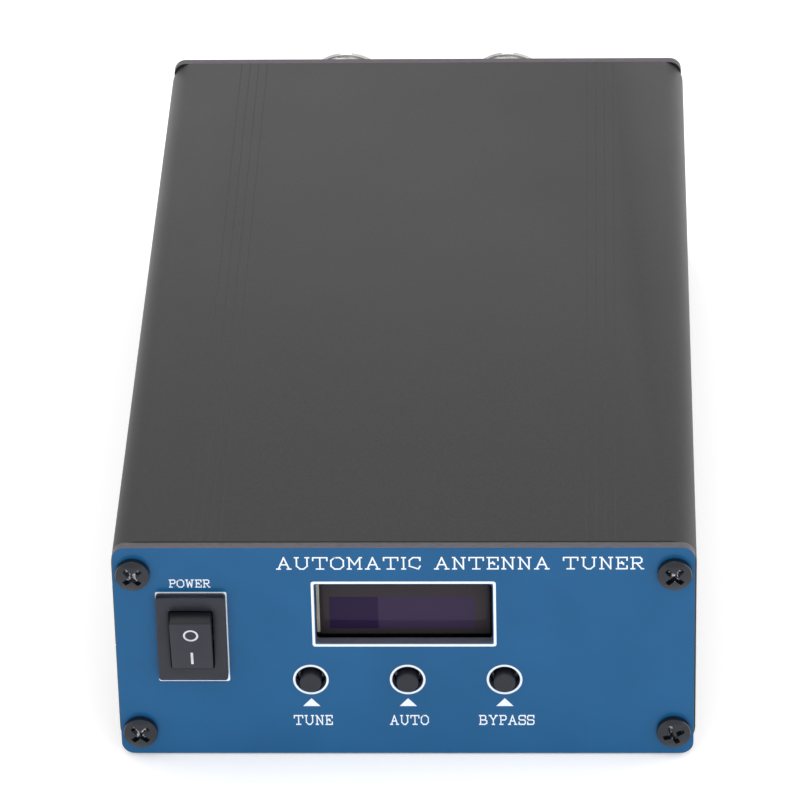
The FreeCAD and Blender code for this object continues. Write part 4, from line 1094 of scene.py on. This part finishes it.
def make_contact():
    """Split sleeve in front, solder cup behind."""
    rings = in_mm((1.5, -11.6), (2.3, -11.6), (2.3, 4), (2.9, 4), (2.9, 16.8), (2.7, 17), (2.15, 17),
                  (2, 16.8), (2, 5), (0.3, 5), (0.3, -8), (1.5, -8))
    contact = turn_on_lathe("contact", rings, 48, ring_shaped=True)
    slits = [place(add_box("slit", (-4 * MM, -0.2 * MM, 11 * MM), (4 * MM, 0.2 * MM, 18 * MM)),
                   turn=(0, 0, turned)) for turned in (0, QUARTER)]
    return smooth(carve(contact, *slits), 30)


def make_nut(half_width, thick, bore):
    """Hexagon nut on z = 0 with chamfered corners."""
    corner = half_width / math.cos(math.pi / 6)
    nut = add_rod("nut", (0, 0, thick / 2), corner, thick, 6, (0, 0, 0))
    chamfer = corner - half_width
    rings = [(half_width, 0), (corner, chamfer / 2), (corner, thick - chamfer / 2), (half_width, thick)]
    combine(nut, turn_on_lathe("turned", rings, 48), "INTERSECT")
    carve(nut, add_rod("bore", (0, 0, 0), bore, 4 * thick, 32, (0, 0, 0)))
    return smooth(clean(nut), 25)


# ---------------------------------------------------------------- power inlet
class TUNER_OT_power_inlet(bpy.types.Operator):
    """Barrel inlet with its pin and ring nut"""
    bl_idname = "tuner.power_inlet"
    bl_label = "Power inlet"

    def execute(self, context):
        spot = rear_spot("inlet_nut")
        crest, pitch, depth = 3.95 * MM, 0.75 * MM, 0.3 * MM
        start, finish = -1.2 * MM, 3 * MM
        rings = in_mm((1, -13.5), (4.4, -13.5), (4.6, -13.3), (4.6, -3.4), (5.4, -3.4), (5.4, -1.6),
                      (3.95, -1.6))
        rings += thread_rings(crest, start, finish, pitch, 5)
        rings += in_mm((3.75, 3.2), (2.9, 3.2), (2.8, 3.1), (2.8, -8), (1, -8))
        body = turn_on_lathe("inlet_barrel", rings, 56, ring_shaped=True)
        wind_thread(body, crest, start, finish, pitch, depth)
        give(place(smooth(body, 30), BACKWARDS, spot), "root", "black_moulding", "inlet_body")
        rings = in_mm((0.8, -15.5), (1, -15.3), (1, 1.9), (0.9, 2.2), (0.6, 2.4))
        pin = smooth(turn_on_lathe("inlet_middle", rings, 32), 30)
        give(place(pin, BACKWARDS, spot), "root", "bright_steel", "inlet_pin")
        rings = in_mm((3.95, 0), (5.3, 0), (5.5, 0.2), (5.5, 1.8), (5.3, 2), (3.95, 2))
        nut = turn_on_lathe("inlet_ring", rings, 56, ring_shaped=True)
        flats = [place(add_box("flat", (4.9 * MM, -4 * MM, -1 * MM), (7 * MM, 4 * MM, 3 * MM)),
                       turn=(0, 0, math.radians(turned))) for turned in range(0, 360, 60)]
        carve(nut, *flats)
        give(place(smooth(nut, 30), BACKWARDS, spot), "root", "bright_steel", "inlet_nut")
        return {"FINISHED"}


# ---------------------------------------------------------------- inside the case
def wind(name, spots, thick):
    """A wire along a run of points: a path whose six-sided bevel is turned into a mesh."""
    clear_selection()
    bpy.ops.curve.primitive_nurbs_path_add()
    path = bpy.context.active_object
    path.data.splines.clear()
    line = path.data.splines.new("POLY")
    line.points.add(len(spots) - 1)
    for point, spot in zip(line.points, spots):
        point.co = (*spot, 1)
    path.data.bevel_depth = thick
    path.data.bevel_resolution = 1
    path.data.use_fill_caps = True
    bpy.ops.object.convert(target="MESH")
    piece = name_new(name)
    edit(piece)
    bpy.ops.mesh.select_all(action="SELECT")
    bpy.ops.mesh.remove_doubles(threshold=NEAR)
    bpy.ops.mesh.normals_make_consistent(inside=False)
    leave_edit()
    return smooth(piece, 50)


def helix(radius, reach, turns, steps):
    """Points of a helix about X, and about the origin."""
    count = turns * steps
    return [(reach * (number / count - 0.5), radius * math.cos(math.tau * number / steps),
             radius * math.sin(math.tau * number / steps)) for number in range(count + 1)]


def middles(first, pitch, count):
    """Middles along Y in metres, from the first one on; both sizes are in millimetres."""
    return [(first + number * pitch) * MM for number in range(count)]


class TUNER_OT_coils(bpy.types.Operator):
    """Wound rings, air coils and sensing rings"""
    bl_idname = "tuner.coils"
    bl_label = "Coils"

    def execute(self, context):
        outside, inside, rise = 10.1 * MM, 6.3 * MM, 6.35 * MM
        low, coil_z = BOARD_TOP + 0.9 * MM, BOARD_TOP + 4.5 * MM
        cores, windings = [], []
        for y in middles(-44, 24, 3):
            cores.append(place(make_ring(outside, inside, rise, 0.5 * MM), at=(0, y, low)))
            windings.append(place(make_winding(outside, inside, rise), at=(0, y, low)))
        give(join_pieces("ring_core_set", cores), "root", "ring_ferrite", "ring_cores")
        give(join_pieces("ring_winding_set", windings), "root", "enamelled_wire", "ring_windings")
        spots = helix(3.95 * MM, 12.8 * MM, turns=11, steps=16)
        coils = [place(wind("air_coil", spots, 0.55 * MM), at=(0, y, coil_z)) for y in middles(23, 12, 3)]
        give(join_pieces("air_coil_set", coils), "root", "enamelled_wire", "air_coils")
        sensors = [place(make_ring(4.2 * MM, 2 * MM, 4 * MM, 0.4 * MM), at=(x, 60 * MM, BOARD_TOP))
                   for x in (-5 * MM, 5 * MM)]
        give(join_pieces("sense_core_set", sensors), "root", "sense_ferrite", "sense_cores")
        return {"FINISHED"}


def make_ring(outside, inside, rise, corner):
    """Ring on z = 0 with softened edges."""
    rings = [(inside + corner, 0), (outside - corner, 0), (outside, corner), (outside, rise - corner),
             (outside - corner, rise), (inside + corner, rise), (inside, rise - corner), (inside, corner)]
    return smooth(turn_on_lathe("ring", rings, 64, ring_shaped=True), 50)


def make_winding(outside, inside, rise):
    """Turns of wire round a ring, with part of the ring left bare."""
    wire, play = 0.4 * MM, 0.04 * MM
    reach = wire + play
    turns, bare = 26, math.radians(36)
    spots = []
    corners = ((outside + reach, -reach), (outside + reach, rise + reach), (inside - reach, rise + reach),
               (inside - reach, -reach))
    for turn in range(turns):
        for number, (radius, height) in enumerate(corners):
            angle = bare / 2 + (math.tau - bare) * (turn + number / 4) / turns
            spots.append((radius * math.cos(angle), radius * math.sin(angle), height))
    return wind("winding", spots, wire)


class TUNER_OT_board_parts(bpy.types.Operator):
    """Relays, capacitors, electrolytics, processor and regulator on the main board"""
    bl_idname = "tuner.board_parts"
    bl_label = "Board parts"

    def execute(self, context):
        rows = [(side, y) for side in (-1, 1) for y in middles(-41, 14.3, 7)]
        relay_rise, processor_rise = 11.8 * MM, 1.2 * MM
        relay = make_block("relay", 15.5 * MM, 10.5 * MM, relay_rise, 0.45 * MM)
        pip = add_rod("pip", (-5.6 * MM, -3.2 * MM, relay_rise), 0.7 * MM, 0.3 * MM, 24, (0, 0, 0))
        relays = self.set_rows(carve(relay, pip), "relay_set", [(30 * MM * side, y) for side, y in rows])
        give(relays, "root", "relay_plastic", "relays")
        chip = make_block("chip", 3.2 * MM, 5 * MM, 2.5 * MM, 0.25 * MM)
        chips = self.set_rows(chip, "capacitor_set", [(17 * MM * side, y) for side, y in rows])
        give(chips, "root", "capacitor_ceramic", "tuning_capacitors")
        rings = in_mm((3.6, 0), (3.9, 0.3), (4, 0.8), (3.75, 1.3), (3.75, 1.6), (4, 2.1), (4, 11),
                      (3.8, 11.4), (3.3, 11.5), (3.1, 11.3), (1, 11.3))
        can = smooth(turn_on_lathe("can", rings, 40), 40)
        cans = self.set_rows(can, "electrolytic_set", [(-20 * MM, -58 * MM), (33 * MM, -58 * MM)])
        give(cans, "root", "can_sleeve", "electrolytics")
        processor = make_block("processor_chip", 7 * MM, 7 * MM, processor_rise, 0.2 * MM)
        dot = add_rod("dot", (-2.5 * MM, -2.5 * MM, processor_rise), 0.4 * MM, 0.2 * MM, 24, (0, 0, 0))
        place(carve(processor, dot), at=(0, -61 * MM, BOARD_TOP))
        give(processor, "root", "black_moulding", "processor")
        tab = make_block("regulator", 10 * MM, 4.5 * MM, 9.2 * MM, 0.3 * MM)
        give(place(tab, at=(20 * MM, -58 * MM, BOARD_TOP)), "root", "black_moulding", "voltage_regulator")
        return {"FINISHED"}

    def set_rows(self, pattern, name, places):
        """Copies of a part on the board, joined, in place of the part itself."""
        pieces = [place(copy_piece(pattern, "part"), at=(x, y, BOARD_TOP)) for x, y in places]
        bpy.data.objects.remove(pattern)
        return join_pieces(name, pieces)


def make_block(name, width, depth, rise, corner):
    """Block on z = 0 with softened edges."""
    block = add_box(name, (-width / 2, -depth / 2, 0), (width / 2, depth / 2, rise))
    return smooth(soften(block, corner, 2, 60), 40)


class TUNER_OT_switch_spring(bpy.types.Operator):
    """Coil spring inside the rocker"""
    bl_idname = "tuner.switch_spring"
    bl_label = "Switch spring"

    def execute(self, context):
        low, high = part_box("rocker_spring")
        size, wire = high - low, 0.13 * MM
        tilt = context.scene.tuner_switch.paddle_tilt
        reach = (size.y - size.x * math.sin(tilt)) / math.cos(tilt) - 2 * wire
        spots = [(y, x, z) for x, y, z in helix(size.x / 2 - wire, reach, turns=6, steps=12)]
        spring = place(wind("spring_coil", spots, wire), turn=(tilt, 0, 0), at=(low + high) / 2)
        give(spring, "rocker", "spring_steel", "rocker_spring")
        return {"FINISHED"}


# ---------------------------------------------------------------- remaining nodes and the stage
class TUNER_OT_hidden_parts(bpy.types.Operator):
    """Finishes of the frame's own nodes that no piece stands for"""
    bl_idname = "tuner.hidden_parts"
    bl_label = "Other parts"

    def execute(self, context):
        slots = {part["node"]: part["material_slot"] for part in frame["record"]["subparts"]}
        for name, node in frame["nodes"].items():
            if not node.hide_render:
                node.material_slots[0].material = finish_named(slots[name])
        return {"FINISHED"}


class TUNER_OT_stage(bpy.types.Operator):
    """Pale floor, soft lights and the camera"""
    bl_idname = "tuner.stage"
    bl_label = "Stage"

    def execute(self, context):
        looks = context.scene.tuner_stage
        clear_selection()
        bpy.ops.mesh.primitive_plane_add(size=8, location=(0, 0, 0))
        floor = name_new("floor")
        material = new_finish("floor", looks.floor, 0.7, emission_color=(1, 1, 1, 1), emission_strength=0.25)
        add_shade(material, 0.4, 0.99, 1.01)
        floor.data.materials.append(material)
        context.scene.world = make_sky()
        add_light("high_light", (-0.3, -0.2, 1.5), (0, 0, 0), 1.4, 5)
        add_light("rear_light", (0.2, 1.9, 1.2), (0, 0.1, 0), 1.6, 2)
        add_light("side_light", (1.3, 0.2, 0.45), (0, 0, 0.02), 0.9, 7)
        add_light("front_light", (0.5, -1.6, 0.9), (0, 0, 0.02), 0.9, 1.5)
        make_camera(looks)
        return {"FINISHED"}


def make_sky():
    world = bpy.data.worlds.new("studio")
    world.use_nodes = True
    background = world.node_tree.nodes["Background"]
    background.inputs["Color"].default_value = (1, 1, 1, 1)
    background.inputs["Strength"].default_value = 1
    return world


def add_light(name, spot, aim, size, power):
    clear_selection()
    bpy.ops.object.light_add(type="AREA", location=spot)
    light = bpy.context.active_object
    light.name = name
    light.data.size = size
    light.data.energy = power
    light.rotation_euler = (Vector(aim) - Vector(spot)).to_track_quat("-Z", "Y").to_euler()


def make_camera(looks):
    """The camera stands back and above, round to the right by the yaw, and leans by the roll."""
    clear_selection()
    bpy.ops.object.camera_add(location=(looks.eye_x, looks.eye_y, looks.eye_z))
    camera = bpy.context.active_object
    turn = Matrix.Rotation(looks.yaw, 4, "Z") @ Matrix.Rotation(QUARTER - looks.pitch, 4, "X")
    camera.rotation_euler = (turn @ Matrix.Rotation(looks.roll, 4, "Z")).to_euler()
    camera.data.lens = looks.lens
    camera.data.sensor_width = 36
    bpy.context.scene.camera = camera
    bpy.context.scene.view_settings.view_transform = "Standard"


GROUPS = {
    "tuner_case": TunerCase,
    "tuner_panels": TunerPanels,
    "tuner_switch": TunerSwitch,
    "tuner_display": TunerDisplay,
    "tuner_sockets": TunerSockets,
    "tuner_stage": TunerStage,
}
OPERATORS = (TUNER_OT_case, TUNER_OT_end_panels, TUNER_OT_panel_print, TUNER_OT_corner_screws,
             TUNER_OT_power_switch, TUNER_OT_push_buttons, TUNER_OT_display,
             TUNER_OT_radio_sockets, TUNER_OT_power_inlet, TUNER_OT_coils, TUNER_OT_board_parts,
             TUNER_OT_switch_spring, TUNER_OT_hidden_parts, TUNER_OT_stage)


class TUNER_PT_sidebar(bpy.types.Panel):
    """Lists the pieces of the tuner"""
    bl_idname = "TUNER_PT_sidebar"
    bl_label = "Antenna tuner"
    bl_space_type = "VIEW_3D"
    bl_region_type = "UI"
    bl_category = "Tuner"

    def draw(self, context):
        for operator in OPERATORS:
            self.layout.operator(operator.bl_idname)


def register():
    for kind in (*GROUPS.values(), *OPERATORS, TUNER_PT_sidebar):
        bpy.utils.register_class(kind)
    for name, kind in GROUPS.items():
        setattr(bpy.types.Scene, name, bpy.props.PointerProperty(type=kind))


def unregister():
    for name in GROUPS:
        delattr(bpy.types.Scene, name)
    for kind in (TUNER_PT_sidebar, *reversed(OPERATORS), *reversed(GROUPS.values())):
        bpy.utils.unregister_class(kind)


def main():
    register()
    make_finishes(bpy.context.scene)
    for operator in OPERATORS:
        family, word = operator.bl_idname.split(".")
        getattr(getattr(bpy.ops, family), word)()
    clear_selection()
    bpy.context.view_layer.update()


if __name__ == "__main__":
    main()
